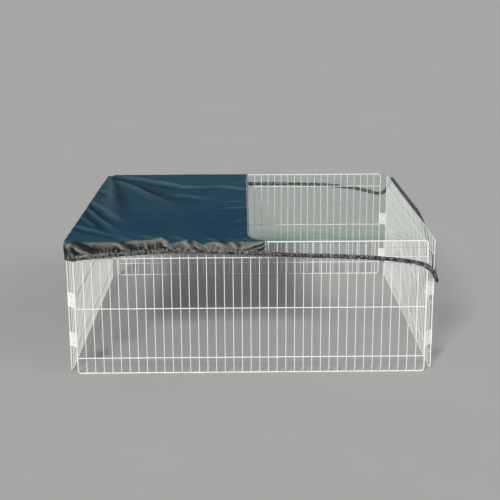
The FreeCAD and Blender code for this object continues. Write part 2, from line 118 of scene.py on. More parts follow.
def turned(quarters: int, size: int = 3) -> Matrix:
    """Quarter turns about the upright line through the run's middle."""
    return Matrix.Rotation(math.pi / 2 * quarters, size, "Z")


class Shop:
    """Modelling steps that the pieces share."""

    @staticmethod
    def clear_selection() -> None:
        """Deselects every object."""
        bpy.ops.object.select_all(action="DESELECT")

    @staticmethod
    def pick(*pieces: Piece) -> None:
        """Makes these the only selected objects, and the first of them the active one.

        Args:
            pieces: Objects to select.
        """
        Shop.clear_selection()
        for piece in pieces:
            piece.select_set(True)
        bpy.context.view_layer.objects.active = pieces[0]

    @staticmethod
    def settle(scale: Sequence[float]) -> Piece:
        """Scales the primitive just added and puts its size and place in its mesh.

        Args:
            scale: Size along each axis, as a share of the primitive's own.

        Returns:
            The object.
        """
        piece = bpy.context.object
        piece.scale = scale
        bpy.ops.object.transform_apply(location=True, rotation=True, scale=True)
        return piece

    @staticmethod
    def grid(name: str, columns: int, rows: int, low: Flat, high: Flat) -> Piece:
        """Adds a flat grid between two corners.

        Args:
            name: Name of the new piece.
            columns: Faces along X.
            rows: Faces along Y.
            low: Lowest corner, in metres.
            high: Highest corner, in metres.

        Returns:
            The new object.
        """
        Shop.clear_selection()
        middle = ((low[0] + high[0]) / 2, (low[1] + high[1]) / 2, 0.0)
        cells = {"x_subdivisions": columns, "y_subdivisions": rows}
        bpy.ops.mesh.primitive_grid_add(size=1.0, location=middle, **cells)
        piece = Shop.settle((high[0] - low[0], high[1] - low[1], 1.0))
        piece.name = name
        return piece

    @staticmethod
    @contextmanager
    def opened(piece: Piece, mode: str, wanted: Callable[[Any], bool] | None = None) -> Iterator[None]:
        """Opens a piece in edit mode while the steps in the block run.

        Args:
            piece: Piece to work on.
            mode: What is selected: VERT, EDGE or FACE.
            wanted: Says if an edge or face is selected. Without it, everything is.

        Returns:
            The block's context.
        """
        Shop.pick(piece)
        bpy.ops.object.mode_set(mode="EDIT")
        bpy.ops.mesh.select_mode(type=mode)
        bpy.ops.mesh.select_all(action="DESELECT" if wanted else "SELECT")
        if wanted:
            mesh = bmesh.from_edit_mesh(piece.data)
            for part in mesh.edges if mode == "EDGE" else mesh.faces:
                part.select_set(wanted(part))
            bmesh.update_edit_mesh(piece.data)
        yield
        bpy.ops.object.mode_set(mode="OBJECT")

    @staticmethod
    def drop_edges(piece: Piece, wanted: Callable[[Vector], bool], steps: Iterable[float]) -> None:
        """Extrudes chosen free edges downwards, row by row.

        Args:
            piece: Sheet to work on.
            wanted: Says by an edge's middle if it is extruded.
            steps: Height of each new row, in metres.
        """

        def chosen(edge: bmesh.types.BMEdge) -> bool:
            """Says if an edge is free and wanted."""
            return edge.is_boundary and wanted((edge.verts[0].co + edge.verts[1].co) / 2)

        with Shop.opened(piece, "EDGE", chosen):
            for step in steps:
                bpy.ops.mesh.extrude_edges_move(TRANSFORM_OT_translate={"value": (0.0, 0.0, -step)})

    @staticmethod
    def split(piece: Piece, wanted: Callable[[Vector], bool]) -> None:
        """Divides in four the faces whose middles are wanted."""
        with Shop.opened(piece, "FACE", lambda face: wanted(face.calc_center_median())):
            bpy.ops.mesh.subdivide(number_cuts=1)

    @staticmethod
    def merge(piece: Piece, reach: float) -> None:
        """Merges the vertices of a piece that lie within a reach of each other."""
        with Shop.opened(piece, "VERT"):
            bpy.ops.mesh.remove_doubles(threshold=reach)

    @staticmethod
    def close_tube(piece: Piece, reach: float) -> None:
        """Merges a rolled sheet's two long edges, fills its ends and turns its faces outwards.

        Args:
            piece: Rolled sheet.
            reach: Distance within which the two edges merge.
        """
        with Shop.opened(piece, "VERT"):
            bpy.ops.mesh.remove_doubles(threshold=reach)
            bpy.ops.mesh.fill_holes(sides=0)
            bpy.ops.mesh.select_all(action="SELECT")
            bpy.ops.mesh.normals_make_consistent(inside=False)

    @staticmethod
    def apply(piece: Piece, kind: str, **settings: Any) -> None:
        """Adds a modifier, sets it and applies it.

        Args:
            piece: Object to change.
            kind: Blender's name for the modifier's type.
            settings: Values of the modifier's properties.
        """
        modifier = piece.modifiers.new(kind.title(), kind)
        for name, value in settings.items():
            setattr(modifier, name, value)
        Shop.pick(piece)
        bpy.ops.object.modifier_apply(modifier=modifier.name)

    @staticmethod
    def smooth(piece: Piece) -> None:
        """Shades a piece smooth."""
        Shop.pick(piece)
        bpy.ops.object.shade_smooth()

    @staticmethod
    def paint(piece: Piece, finish: Paint) -> None:
        """Gives a piece or a CAD node its finish."""
        piece.data.materials.clear()
        piece.data.materials.append(finish)

    @staticmethod
    def shape(piece: Piece, place: Callable[[Vector], Placed]) -> None:
        """Moves every vertex of a piece to its place, and stores what its material reads there.

        Args:
            piece: Piece that still lies flat.
            place: Gives the new place of a flat point, and named values for the material.
        """
        notes: dict[str, list[float]] = {}
        for vertex in piece.data.vertices:
            vertex.co, values = place(vertex.co.copy())
            for name, value in values.items():
                notes.setdefault(name, []).append(value)
        for name, column in notes.items():
            layer = piece.data.attributes.new(name=name, type="FLOAT", domain="POINT")
            layer.data.foreach_set("value", column)
        piece.data.update()

    @staticmethod
    def flat_map(piece: Piece, place: Callable[[Vector, Vector], Flat]) -> None:
        """Gives a piece a UV map in metres of the flat cloth.

        Args:
            piece: Piece that still lies flat.
            place: Gives the UV of a vertex, from its place and its face's middle.
        """
        layer = piece.data.uv_layers.active or piece.data.uv_layers.new(name="UVMap")
        for face in piece.data.polygons:
            for loop in face.loop_indices:
                corner = piece.data.vertices[piece.data.loops[loop].vertex_index].co
                layer.data[loop].uv = place(corner, face.center)

    @staticmethod
    def route(name: str, points: Sequence[Vector], ring: bool = False) -> Piece:
        """Makes a smooth curve with the given control points.

        Args:
            name: Name of the curve.
            points: Control points, in metres.
            ring: True for a closed curve.

        Returns:
            The curve object.
        """
        data = bpy.data.curves.new(name, "CURVE")
        data.dimensions = "3D"
        data.twist_mode = "Z_UP"
        data.resolution_u = 16
        spline = data.splines.new("NURBS")
        spline.points.add(len(points) - 1)
        for slot, point in zip(spline.points, points):
            slot.co = (*point, 1.0)
        spline.order_u = 3
        spline.use_endpoint_u = not ring
        spline.use_cyclic_u = ring
        curve = bpy.data.objects.new(name, data)
        bpy.context.collection.objects.link(curve)
        return curve


class NodeBench:
    """Adds and joins the nodes of one shader tree."""

    def __init__(self, tree: bpy.types.NodeTree) -> None:
        """Starts from an empty tree."""
        self.tree = tree
        tree.nodes.clear()

    def add(self, kind: str, feeds: dict[Any, Any] | None = None, **settings: Any) -> Any:
        """Adds a node and sets or links its inputs.

        Args:
            kind: Blender's name for the node's type.
            feeds: Input socket to a value, or to the output socket that feeds it.
            settings: Values of the node's properties.

        Returns:
            The new node's outputs.
        """
        node = self.tree.nodes.new(kind)
        for name, value in settings.items():
            setattr(node, name, value)
        for socket, value in (feeds or {}).items():
            if isinstance(value, Link):
                self.tree.links.new(value, node.inputs[socket])
            else:
                node.inputs[socket].default_value = value
        return node.outputs

    def maths(self, operation: str, first: Any, second: Any = 0.0) -> Link:
        """Output of a Math node on two values."""
        return self.add("ShaderNodeMath", {0: first, 1: second}, operation=operation)[0]

    def mix(self, share: Any, first: Any, second: Any) -> Link:
        """Output of a colour mix of two colours."""
        return self.add("ShaderNodeMix", {0: share, 6: first, 7: second}, data_type="RGBA")[2]

    def band(self, value: Any, low: float, high: float, start: Any = 0.0, end: Any = 1.0) -> Link:
        """Output of a Map Range node from low and high to start and end, held to that range."""
        return self.add("ShaderNodeMapRange", {0: value, 1: low, 2: high, 3: start, 4: end})[0]

    def place(self) -> Link:
        """The piece's Object coordinates."""
        return self.add("ShaderNodeTexCoord")["Object"]

    def cloth_place(self) -> Link:
        """The piece's own UV map."""
        return self.add("ShaderNodeUVMap", uv_map="UVMap")[0]

    def parts(self, vector: Link) -> Any:
        """The three coordinates of a vector."""
        return self.add("ShaderNodeSeparateXYZ", {0: vector})

    def stored(self, name: str) -> Link:
        """A value stored on the piece's vertices."""
        return self.add("ShaderNodeAttribute", attribute_name=name)["Fac"]

    def cloud(self, scale: Any, detail: float, roughness: float = 0.5) -> Link:
        """Output of a noise over the piece's Object coordinates."""
        feeds = {"Vector": self.place(), "Scale": scale, "Detail": detail, "Roughness": roughness}
        return self.add("ShaderNodeTexNoise", feeds)[0]

    def effect(self, effect: "Effect", **feeds: Any) -> Any:
        """Outputs of a shared effect, placed in this tree with its own values."""
        return self.add("ShaderNodeGroup", feeds, node_tree=effect.tree())

    def bump(self, height: Any, strength: float, distance: float, **below: Any) -> Link:
        """Output of a Bump node on a height, over the Normal below it if one is given."""
        feeds = {"Height": height, "Strength": strength, "Distance": distance, **below}
        return self.add("ShaderNodeBump", feeds)[0]

    def surface(self, feeds: dict[str, Any]) -> None:
        """Ends a material in a Principled shader with the given inputs."""
        shader = self.add("ShaderNodeBsdfPrincipled", feeds)
        self.add("ShaderNodeOutputMaterial", {"Surface": shader[0]})


@dataclass(frozen=True)
class Effect:
    """A shader group that more than one finish uses, built once by its fill."""

    name: str
    inputs: dict[str, Socket]
    outputs: dict[str, Socket]
    fill: Callable[[NodeBench, Any], dict[str, Link]]

    def tree(self) -> bpy.types.NodeTree:
        """Finds the group, or builds it.

        Returns:
            The group's tree.
        """
        if self.name in bpy.data.node_groups:
            return bpy.data.node_groups[self.name]
        tree = bpy.data.node_groups.new(self.name, "ShaderNodeTree")
        for way, sockets in (("INPUT", self.inputs), ("OUTPUT", self.outputs)):
            for label, kind in sockets.items():
                tree.interface.new_socket(label, in_out=way, socket_type=kind.value)
        bench = NodeBench(tree)
        bench.add("NodeGroupOutput", self.fill(bench, bench.add("NodeGroupInput")))
        return tree


def drift_tones(bench: NodeBench, given: Any) -> dict[str, Link]:
    """Two colours that drift into each other over the piece.

    Args:
        bench: Bench of the group's tree.
        given: The group's inputs.

    Returns:
        The socket that feeds each output.
    """
    mask = bench.band(bench.cloud(given["Scale"], 4.0, 0.6), 0.32, 0.68)
    share = bench.maths("MULTIPLY", mask, given["Amount"])
    return {"Colour": bench.mix(share, given["Main"], given["Other"])}


def cross_threads(bench: NodeBench, given: Any) -> dict[str, Link]:
    """Plain weave of crossing threads on a flat map.

    Args:
        bench: Bench of the group's tree.
        given: The group's inputs.

    Returns:
        The socket that feeds each output.
    """
    flat = bench.parts(given["Vector"])
    turns = bench.maths("MULTIPLY", given["Threads"], math.pi)
    across, along = (bench.maths("SINE", bench.maths("MULTIPLY", flat[axis], turns)) for axis in (0, 1))
    return {"Height": bench.band(bench.maths("MULTIPLY", across, along), -1.0, 1.0)}


def roughen(bench: NodeBench, given: Any) -> dict[str, Link]:
    """Fine unevenness of a surface, and its broader change from smooth to rough."""
    rough = bench.band(bench.cloud(24.0, 5.0), 0.3, 0.7, given["Smoothest"], given["Roughest"])
    return {"Height": bench.cloud(given["Scale"], 3.0), "Roughness": rough}


def sew_row(bench: NodeBench, given: Any) -> dict[str, Link]:
    """Row of sewn stitches along a line of a flat map, and the cloth that it pulls in.

    Args:
        bench: Bench of the group's tree.
        given: The group's inputs.

    Returns:
        The socket that feeds each output.
    """
    share = bench.maths("DIVIDE", bench.maths("ABSOLUTE", given["Off"]), given["Width"])
    step = bench.maths("FRACT", bench.maths("DIVIDE", given["Along"], given["Pitch"]))
    from_middle = bench.maths("ABSOLUTE", bench.maths("SUBTRACT", step, 0.5))
    dash = bench.band(from_middle, 0.32, 0.4, 1.0, 0.0)
    mask = bench.maths("MULTIPLY", bench.band(share, 0.4, 0.6, 1.0, 0.0), dash)
    return {"Mask": mask, "Pull": bench.band(share, 0.0, 3.0)}


def plain(*labels: str) -> dict[str, Socket]:
    """Sockets that carry plain values."""
    return dict.fromkeys(labels, Socket.VALUE)


TONE = Effect(
    "Uneven tone",
    {"Main": Socket.COLOUR, "Other": Socket.COLOUR, **plain("Scale", "Amount")},
    {"Colour": Socket.COLOUR},
    drift_tones,
)
WEAVE = Effect("Plain weave", {"Vector": Socket.VECTOR, **plain("Threads")}, plain("Height"), cross_threads)
GRAIN = Effect("Fine grain", plain("Scale", "Smoothest", "Roughest"), plain("Height", "Roughness"), roughen)
SEWN_ROW = Effect("Sewn row", plain("Along", "Off", "Pitch", "Width"), plain("Mask", "Pull"), sew_row)


@dataclass(frozen=True, kw_only=True)
class Tones:
    """A dull finish of two tones that drift into each other."""

    name: str
    main: Colour
    other: Colour
    tone_scale: float
    tone_share: float = 1.0
    roughest: float

    def material(self) -> Paint:
        """Builds the finish.

        Returns:
            The material.
        """
        material = bpy.data.materials.new(self.name)
        material.use_nodes = True
        bench = NodeBench(material.node_tree)
        tones = {"Main": self.main, "Other": self.other, "Scale": self.tone_scale, "Amount": self.tone_share}
        bench.surface(self.feeds(bench, bench.effect(TONE, **tones)["Colour"]))
        return material

    def feeds(self, bench: NodeBench, tone: Link) -> dict[str, Any]:
        """The shader's inputs: the tones, and one roughness all over."""
        return {"Base Color": tone, "Roughness": self.roughest}


@dataclass(frozen=True)
class FloorPaint(Tones):
    """Plain pale floor."""

    name: str = "Pale floor"
    main: Colour = (0.44, 0.44, 0.43, 1.0)
    other: Colour = (0.425, 0.425, 0.415, 1.0)
    tone_scale: float = 1.2
    roughest: float = 0.85


@dataclass(frozen=True, kw_only=True)
class Finish(Tones):
    """A finish with the relief of a fine grain, or of a weave where it has threads."""

    grain_scale: float
    smoothest: float
    relief: float
    relief_depth: float = 0.0003
    threads: float = 0.0

    def feeds(self, bench: NodeBench, tone: Link) -> dict[str, Any]:
        """Works out what the shader gets.

        Args:
            bench: Bench of the material's tree.
            tone: The two drifting tones.

        Returns:
            The shader's inputs.
        """
        grain = bench.effect(GRAIN, Scale=self.grain_scale, Smoothest=self.smoothest, Roughest=self.roughest)
        height = grain["Height"]
        if self.threads:
            height = bench.effect(WEAVE, Vector=bench.cloth_place(), Threads=self.threads)["Height"]
        relief = bench.bump(height, self.relief, self.relief_depth)
        return {"Base Color": tone, "Roughness": grain["Roughness"], "Normal": relief}


@dataclass(frozen=True)
class PowderCoat(Finish):
    """White powder coat on wire and sheet, a little soiled near the ground."""

    name: str = "White powder coat"
    main: Colour = (0.86, 0.865, 0.855, 1.0)
    other: Colour = (0.78, 0.785, 0.765, 1.0)
    tone_scale: float = 14.0
    tone_share: float = 0.6
    grain_scale: float = 700.0
    smoothest: float = 0.28
    roughest: float = 0.42
    relief: float = 0.12
    relief_depth: float = 0.0004
    soil: Colour = (0.34, 0.31, 0.22, 1.0)
    soil_height: float = 0.035
    soil_share: float = 0.35

    def feeds(self, bench: NodeBench, tone: Link) -> dict[str, Any]:
        """Works out what the shader gets: the coat, with soil splashed on it near the ground.

        Args:
            bench: Bench of the material's tree.
            tone: The two drifting tones.

        Returns:
            The shader's inputs.
        """
        low = bench.band(bench.parts(bench.place())[2], 0.0, self.soil_height, self.soil_share, 0.0)
        soiled = bench.maths("MULTIPLY", low, bench.band(bench.cloud(60.0, 4.0), 0.4, 0.65))
        return super().feeds(bench, bench.mix(soiled, tone, self.soil))


@dataclass(frozen=True)
class RubbedPaint(Finish):
    """Greyed, rubbed paint on the rivet heads."""

    name: str = "Rubbed rivet paint"
    main: Colour = (0.66, 0.67, 0.66, 1.0)
    other: Colour = (0.36, 0.365, 0.37, 1.0)
    tone_scale: float = 260.0
    grain_scale: float = 1500.0
    smoothest: float = 0.35
    roughest: float = 0.55
    relief: float = 0.2


@dataclass(frozen=True)
class CoatedCloth(Finish):
    """Coated shade cloth: petrol blue on top, greyed down its skirts by painted sheen."""

    name: str = "Coated shade cloth"
    main: Colour = (0.0020, 0.0430, 0.092, 1.0)
    other: Colour = (0.021, 0.066, 0.087, 1.0)
    tone_scale: float = 2.6
    tone_share: float = 0.75
    grain_scale: float = 180.0
    smoothest: float = 0.5
    roughest: float = 0.62
    relief: float = 0.10
    threads: float = 1700.0
    # Painted sheen: the grey that the skirts take
    sheen_grey: Colour = (0.135, 0.139, 0.128, 1.0)
    # Painted shade: darker low on the skirts, most at the left
    low_skirt_shade: Colour = (0.015, 0.017, 0.016, 1.0)
    # Painted shade in the creases
    hollow: Colour = (0.010, 0.016, 0.020, 1.0)
    # Painted highlight on the ridges, on the top and on the skirts
    worn: Colour = (0.072, 0.118, 0.138, 1.0)
    worn_dusty: Colour = (0.29, 0.30, 0.28, 1.0)
    thread: Colour = (0.040, 0.044, 0.042, 1.0)
    sewn_row: float = 0.74
    skirt_length: float = 0.05
    stitch: float = 0.0045
    stitch_width: float = 0.0016

    def feeds(self, bench: NodeBench, tone: Link) -> dict[str, Any]:
        """Works out what the shader gets: painted sheen, painted shade, painted highlights and a sewn row.

        Args:
            bench: Bench of the material's tree.
            tone: The two drifting tones.

        Returns:
            The shader's inputs.
        """
        fall, hollow, dust = (bench.stored(name) for name in ("fall", "hollow", "dust"))
        flat = bench.parts(bench.cloth_place())
        # Painted sheen: the top greys towards the back
        back = bench.band(bench.parts(bench.place())[1], -0.2, 0.55, 0.0, 0.8)
        top = bench.mix(back, tone, self.other)
        # Painted shade: the skirts darken towards the hem, most at the left
        left = bench.band(flat[0], -0.36, -0.20, 1.0, 0.25)
        low = bench.maths("MULTIPLY", bench.band(fall, 0.10, 0.55), left)
        # Painted sheen greys the skirts past their uneven upper edge
        skirt = bench.mix(dust, top, bench.mix(low, self.sheen_grey, self.low_skirt_shade))
        # Painted highlight: the ridges are paler
        worn = bench.mix(dust, self.worn, self.worn_dusty)
        rubbed = bench.mix(bench.band(hollow, 0.0, -1.0, 0.0, 0.6), skirt, worn)
        # Painted shade: the creases are darker
        creased = bench.mix(bench.band(hollow, 0.0, 1.0), rubbed, self.hollow)
        walk = bench.maths("ADD", flat[0], flat[1])
        off = bench.maths("MULTIPLY", bench.maths("SUBTRACT", fall, self.sewn_row), self.skirt_length)
        row = bench.effect(SEWN_ROW, Along=walk, Off=off, Pitch=self.stitch, Width=self.stitch_width)
        feeds = super().feeds(bench, bench.mix(row["Mask"], creased, self.thread))
        feeds["Specular IOR Level"] = 0.05
        feeds["Normal"] = bench.bump(row["Pull"], 0.5, 0.0012, Normal=feeds["Normal"])
        return feeds


@dataclass(frozen=True)
class NetThread(Finish):
    """Thin green thread of the net."""

    name: str = "Net thread"
    main: Colour = (0.004, 0.27, 0.13, 1.0)
    other: Colour = (0.020, 0.40, 0.23, 1.0)
    tone_scale: float = 35.0
    grain_scale: float = 1600.0
    smoothest: float = 0.45
    roughest: float = 0.65
    relief: float = 0.3


@dataclass(frozen=True)
class GatheredCloth(Finish):
    """Cloth of the gathered hem: its main tone is a painted highlight on the pleats, its other tone painted
    shade in the creases.
    """

    tone_scale: float = 45.0
    tone_share: float = 0.45
    grain_scale: float = 500.0
    smoothest: float = 0.5
    roughest: float = 0.7
    relief: float = 0.25
    threads: float = 1500.0

    def feeds(self, bench: NodeBench, tone: Link) -> dict[str, Any]:
        """The shader's inputs: the cloth, with painted shade in its creases."""
        creased = bench.mix(bench.stored("hollow"), tone, self.other)
        return super().feeds(bench, creased) | {"Specular IOR Level": 0.25}


# Each hem's main tone is a painted highlight on its pleats, its other tone painted shade in its creases
SHADE_HEM_CLOTH = GatheredCloth(
    name="Gathered shade hem", main=(0.200, 0.202, 0.185, 1.0), other=(0.006, 0.008, 0.010, 1.0)
)
NET_HEM_CLOTH = GatheredCloth(
    name="Gathered net hem", main=(0.190, 0.203, 0.208, 1.0), other=(0.003, 0.004, 0.007, 1.0)
)


@dataclass(frozen=True)
class WovenTape(Finish):
    """Pale ribbed tape with a sewn row along each edge."""

    name: str = "Seam tape"
    main: Colour = (0.26, 0.28, 0.32, 1.0)
    other: Colour = (0.14, 0.17, 0.20, 1.0)
    tone_scale: float = 30.0
    tone_share: float = 0.8
    grain_scale: float = 600.0
    smoothest: float = 0.6
    roughest: float = 0.8
    relief: float = 0.35
    relief_depth: float = 0.0004
    threads: float = 900.0
    thread: Colour = (0.06, 0.08, 0.10, 1.0)
    sewn_off: float = 0.0026
    stitch: float = 0.004
    stitch_width: float = 0.001

    def feeds(self, bench: NodeBench, tone: Link) -> dict[str, Any]:
        """Works out what the shader gets: the tape with its two sewn rows.

        Args:
            bench: Bench of the material's tree.
            tone: The two drifting tones.

        Returns:
            The shader's inputs.
        """
        flat = bench.parts(bench.cloth_place())
        off = bench.maths("SUBTRACT", bench.maths("ABSOLUTE", flat[0]), self.sewn_off)
        row = bench.effect(SEWN_ROW, Along=flat[1], Off=off, Pitch=self.stitch, Width=self.stitch_width)
        return super().feeds(bench, bench.mix(row["Mask"], tone, self.thread))


@dataclass(frozen=True)
class BraidedElastic(Finish):
    """Black braid of the elastic cord."""

    name: str = "Elastic braid"
    main: Colour = (0.018, 0.018, 0.02, 1.0)
    other: Colour = (0.05, 0.05, 0.055, 1.0)
    tone_scale: float = 300.0
    grain_scale: float = 900.0
    smoothest: float = 0.6
    roughest: float = 0.8
    relief: float = 0.5
    relief_depth: float = 0.0005


@dataclass(frozen=True)
class Crease:
    """A pulled fold of the cloth, from its root to its tip, on the flat cloth in metres."""

    root: Flat
    tip: Flat
    width: float
    height: float
    hollow: float

    def rise(self, x: float, y: float) -> float:
        """Height that the fold adds at a point of the cloth.

        Args:
            x: First flat coordinate.
            y: Second flat coordinate.

        Returns:
            The height in metres, below zero in the hollow beside the fold.
        """
        run_x, run_y = self.tip[0] - self.root[0], self.tip[1] - self.root[1]
        length = math.hypot(run_x, run_y)
        from_x, from_y = x - self.root[0], y - self.root[1]
        share = (from_x * run_x + from_y * run_y) / length**2
        if not FOLD_START < share < FOLD_END:
            return 0.0
        off = (from_y * run_x - from_x * run_y) / length
        off += 0.25 * self.width * wander(share * 3.0, length, 5.0)
        turn = off / (self.width * (0.55 + 0.6 * max(0.0, share)))
        fade = eased((share - FOLD_START) / 0.25) * eased((FOLD_END - share) / 0.7)
        return self.height * fade * (math.exp(-turn * turn) - self.hollow * math.exp(-((turn + 1.5) ** 2)))


@dataclass(frozen=True)
class Roll:
    """A place along the front where the gathered cloth stands over the top wire, or dips below it."""

    place: float
    width: float
    height: float

    def rise(self, along: float) -> float:
        """Height that the roll adds at a place along the front."""
        return self.height * math.exp(-(((along - self.place) / self.width) ** 2))


@dataclass(frozen=True)
class HemPoint:
    """A point of the hem: its side in quarter turns, its share of the side's half length, drop and inset."""

    side: int
    share: float
    drop: float
    inset: float = 0.0


def creases(*rows: tuple[float, ...]) -> tuple[Crease, ...]:
    """Creases from rows of root, tip, width, height and hollow."""
    return tuple(Crease(row[:2], row[2:4], *row[4:]) for row in rows)


def hem_points(*rows: tuple[float, ...]) -> tuple[HemPoint, ...]:
    """Hem points from rows of side, share, drop and inset."""
    return tuple(HemPoint(*row) for row in rows)


# Under the shade cloth, from the back round the left to the front
SHADE_HEM = hem_points(
    (2, -0.01, 0.044), (2, 0.5, 0.043), (2, 1.0, 0.046, 0.003),
    (3, -1.0, 0.046, 0.003), (3, -0.4, 0.042, 0.006), (3, 0.5, 0.043, 0.006), (3, 1.0, 0.052, 0.007),
    (4, -1.0, 0.055, 0.006), (4, -0.88, 0.043), (4, -0.7, 0.035), (4, -0.45, 0.025), (4, -0.2, 0.029),
    (4, 0.0, 0.035), (4, 0.075, 0.037),
)
# Under the net, from the front round the right to the back
NET_HEM = hem_points(
    (0, 0.075, 0.037), (0, 0.2, 0.044), (0, 0.5, 0.048), (0, 0.76, 0.058), (0, 0.92, 0.071), (0, 1.0, 0.088),
    (1, -1.0, 0.152), (1, -0.9, 0.142), (1, -0.76, 0.084), (1, -0.56, 0.024, 0.003),
    (1, -0.36, -0.007, 0.009), (1, -0.2, -0.010, 0.014), (1, 0.7, -0.010, 0.014), (1, 0.84, 0.002, 0.006),
    (1, 0.92, 0.020, 0.003), (1, 1.0, 0.048),
    (2, -1.0, 0.100), (2, -0.86, 0.072), (2, -0.62, 0.052), (2, -0.3, 0.044), (2, -0.01, 0.044),
)
# The folds pulled into the shade cloth's top
TOP_CREASES = creases(
    (-0.585, 0.540, -0.440, -0.260, 0.028, -0.0090, 0.9),
    (-0.570, 0.540, -0.220, -0.020, 0.028, -0.0095, 0.8),
    (-0.535, 0.550, -0.180, 0.260, 0.028, 0.0095, 0.6),
    (-0.585, 0.480, -0.520, 0.120, 0.020, 0.0080, 0.6),
    (-0.604, 0.020, -0.420, -0.390, 0.022, 0.0105, 0.9),
    (-0.604, -0.110, -0.420, -0.560, 0.018, 0.0090, 0.9),
    (-0.606, -0.390, -0.400, -0.570, 0.016, 0.0080, 0.9),
    (-0.606, 0.260, -0.500, 0.060, 0.016, 0.0075, 0.8),
    (-0.606, -0.250, -0.520, -0.420, 0.013, 0.0060, 0.8),
    (-0.380, 0.420, -0.220, 0.322, 0.016, 0.0080, 0.8),
    (-0.290, 0.326, -0.100, 0.376, 0.016, 0.0095, 0.8),
    (-0.010, 0.322, -0.170, 0.378, 0.016, 0.0090, -0.8),
    (-0.300, 0.180, -0.120, 0.120, 0.030, 0.0070, 0.5),
    (-0.006, 0.010, -0.130, -0.030, 0.012, 0.0070, 0.8),
    (-0.006, 0.100, -0.150, 0.120, 0.012, 0.0060, 0.8),
    (-0.008, -0.210, -0.090, -0.310, 0.011, 0.0055, 0.8),
    (-0.008, 0.460, -0.110, 0.430, 0.012, 0.0055, 0.8),
    (-0.008, -0.380, -0.070, -0.430, 0.010, 0.0045, 0.8),
    (-0.290, -0.612, -0.390, -0.490, 0.013, 0.0100, 0.7),
    (-0.205, -0.612, -0.265, -0.500, 0.012, 0.0085, 0.7),
    (-0.385, -0.612, -0.460, -0.530, 0.012, 0.0070, 0.7),
    (-0.110, -0.612, -0.160, -0.530, 0.012, 0.0080, 0.7),
    (-0.040, -0.612, -0.070, -0.560, 0.010, 0.0055, 0.7),
    (0.035, -0.606, -0.080, -0.550, 0.009, 0.0065, 0.8),
)
# The folds of the front skirt: along the front, and down from the top wire
FRONT_FOLDS = creases(
    (-0.600, 0.002, -0.490, 0.060, 0.010, 0.0150, 1.3),
    (-0.590, 0.004, -0.575, 0.060, 0.008, 0.0120, 1.2),
    (-0.586, 0.010, -0.580, 0.036, 0.006, -0.0120, 0.0),
    (-0.450, 0.000, -0.375, 0.050, 0.010, 0.0110, 1.0),
    (-0.258, 0.042, -0.292, -0.008, 0.011, 0.0150, 1.1),
    (-0.345, 0.010, -0.330, 0.050, 0.008, 0.0080, 0.9),
    (-0.222, -0.004, -0.186, 0.040, 0.010, 0.0120, 1.0),
    (-0.160, 0.040, -0.200, 0.000, 0.008, 0.0085, 0.9),
    (-0.126, -0.004, -0.070, 0.036, 0.010, 0.0115, 1.1),
    (-0.066, 0.004, -0.026, 0.048, 0.009, 0.0085, 0.9),
    (0.047, 0.002, -0.050, 0.040, 0.008, 0.0090, 1.0),
    (0.047, 0.016, -0.020, 0.050, 0.007, 0.0080, 1.0),
)
# The rolls and dips of the front skirt's upper edge
FRONT_ROLLS = (
    Roll(-0.345, 0.045, 0.0045),
    Roll(-0.296, 0.026, 0.0075),
    Roll(-0.258, 0.010, -0.0080),
    Roll(-0.212, 0.028, 0.0030),
    Roll(-0.155, 0.012, -0.0085),
)


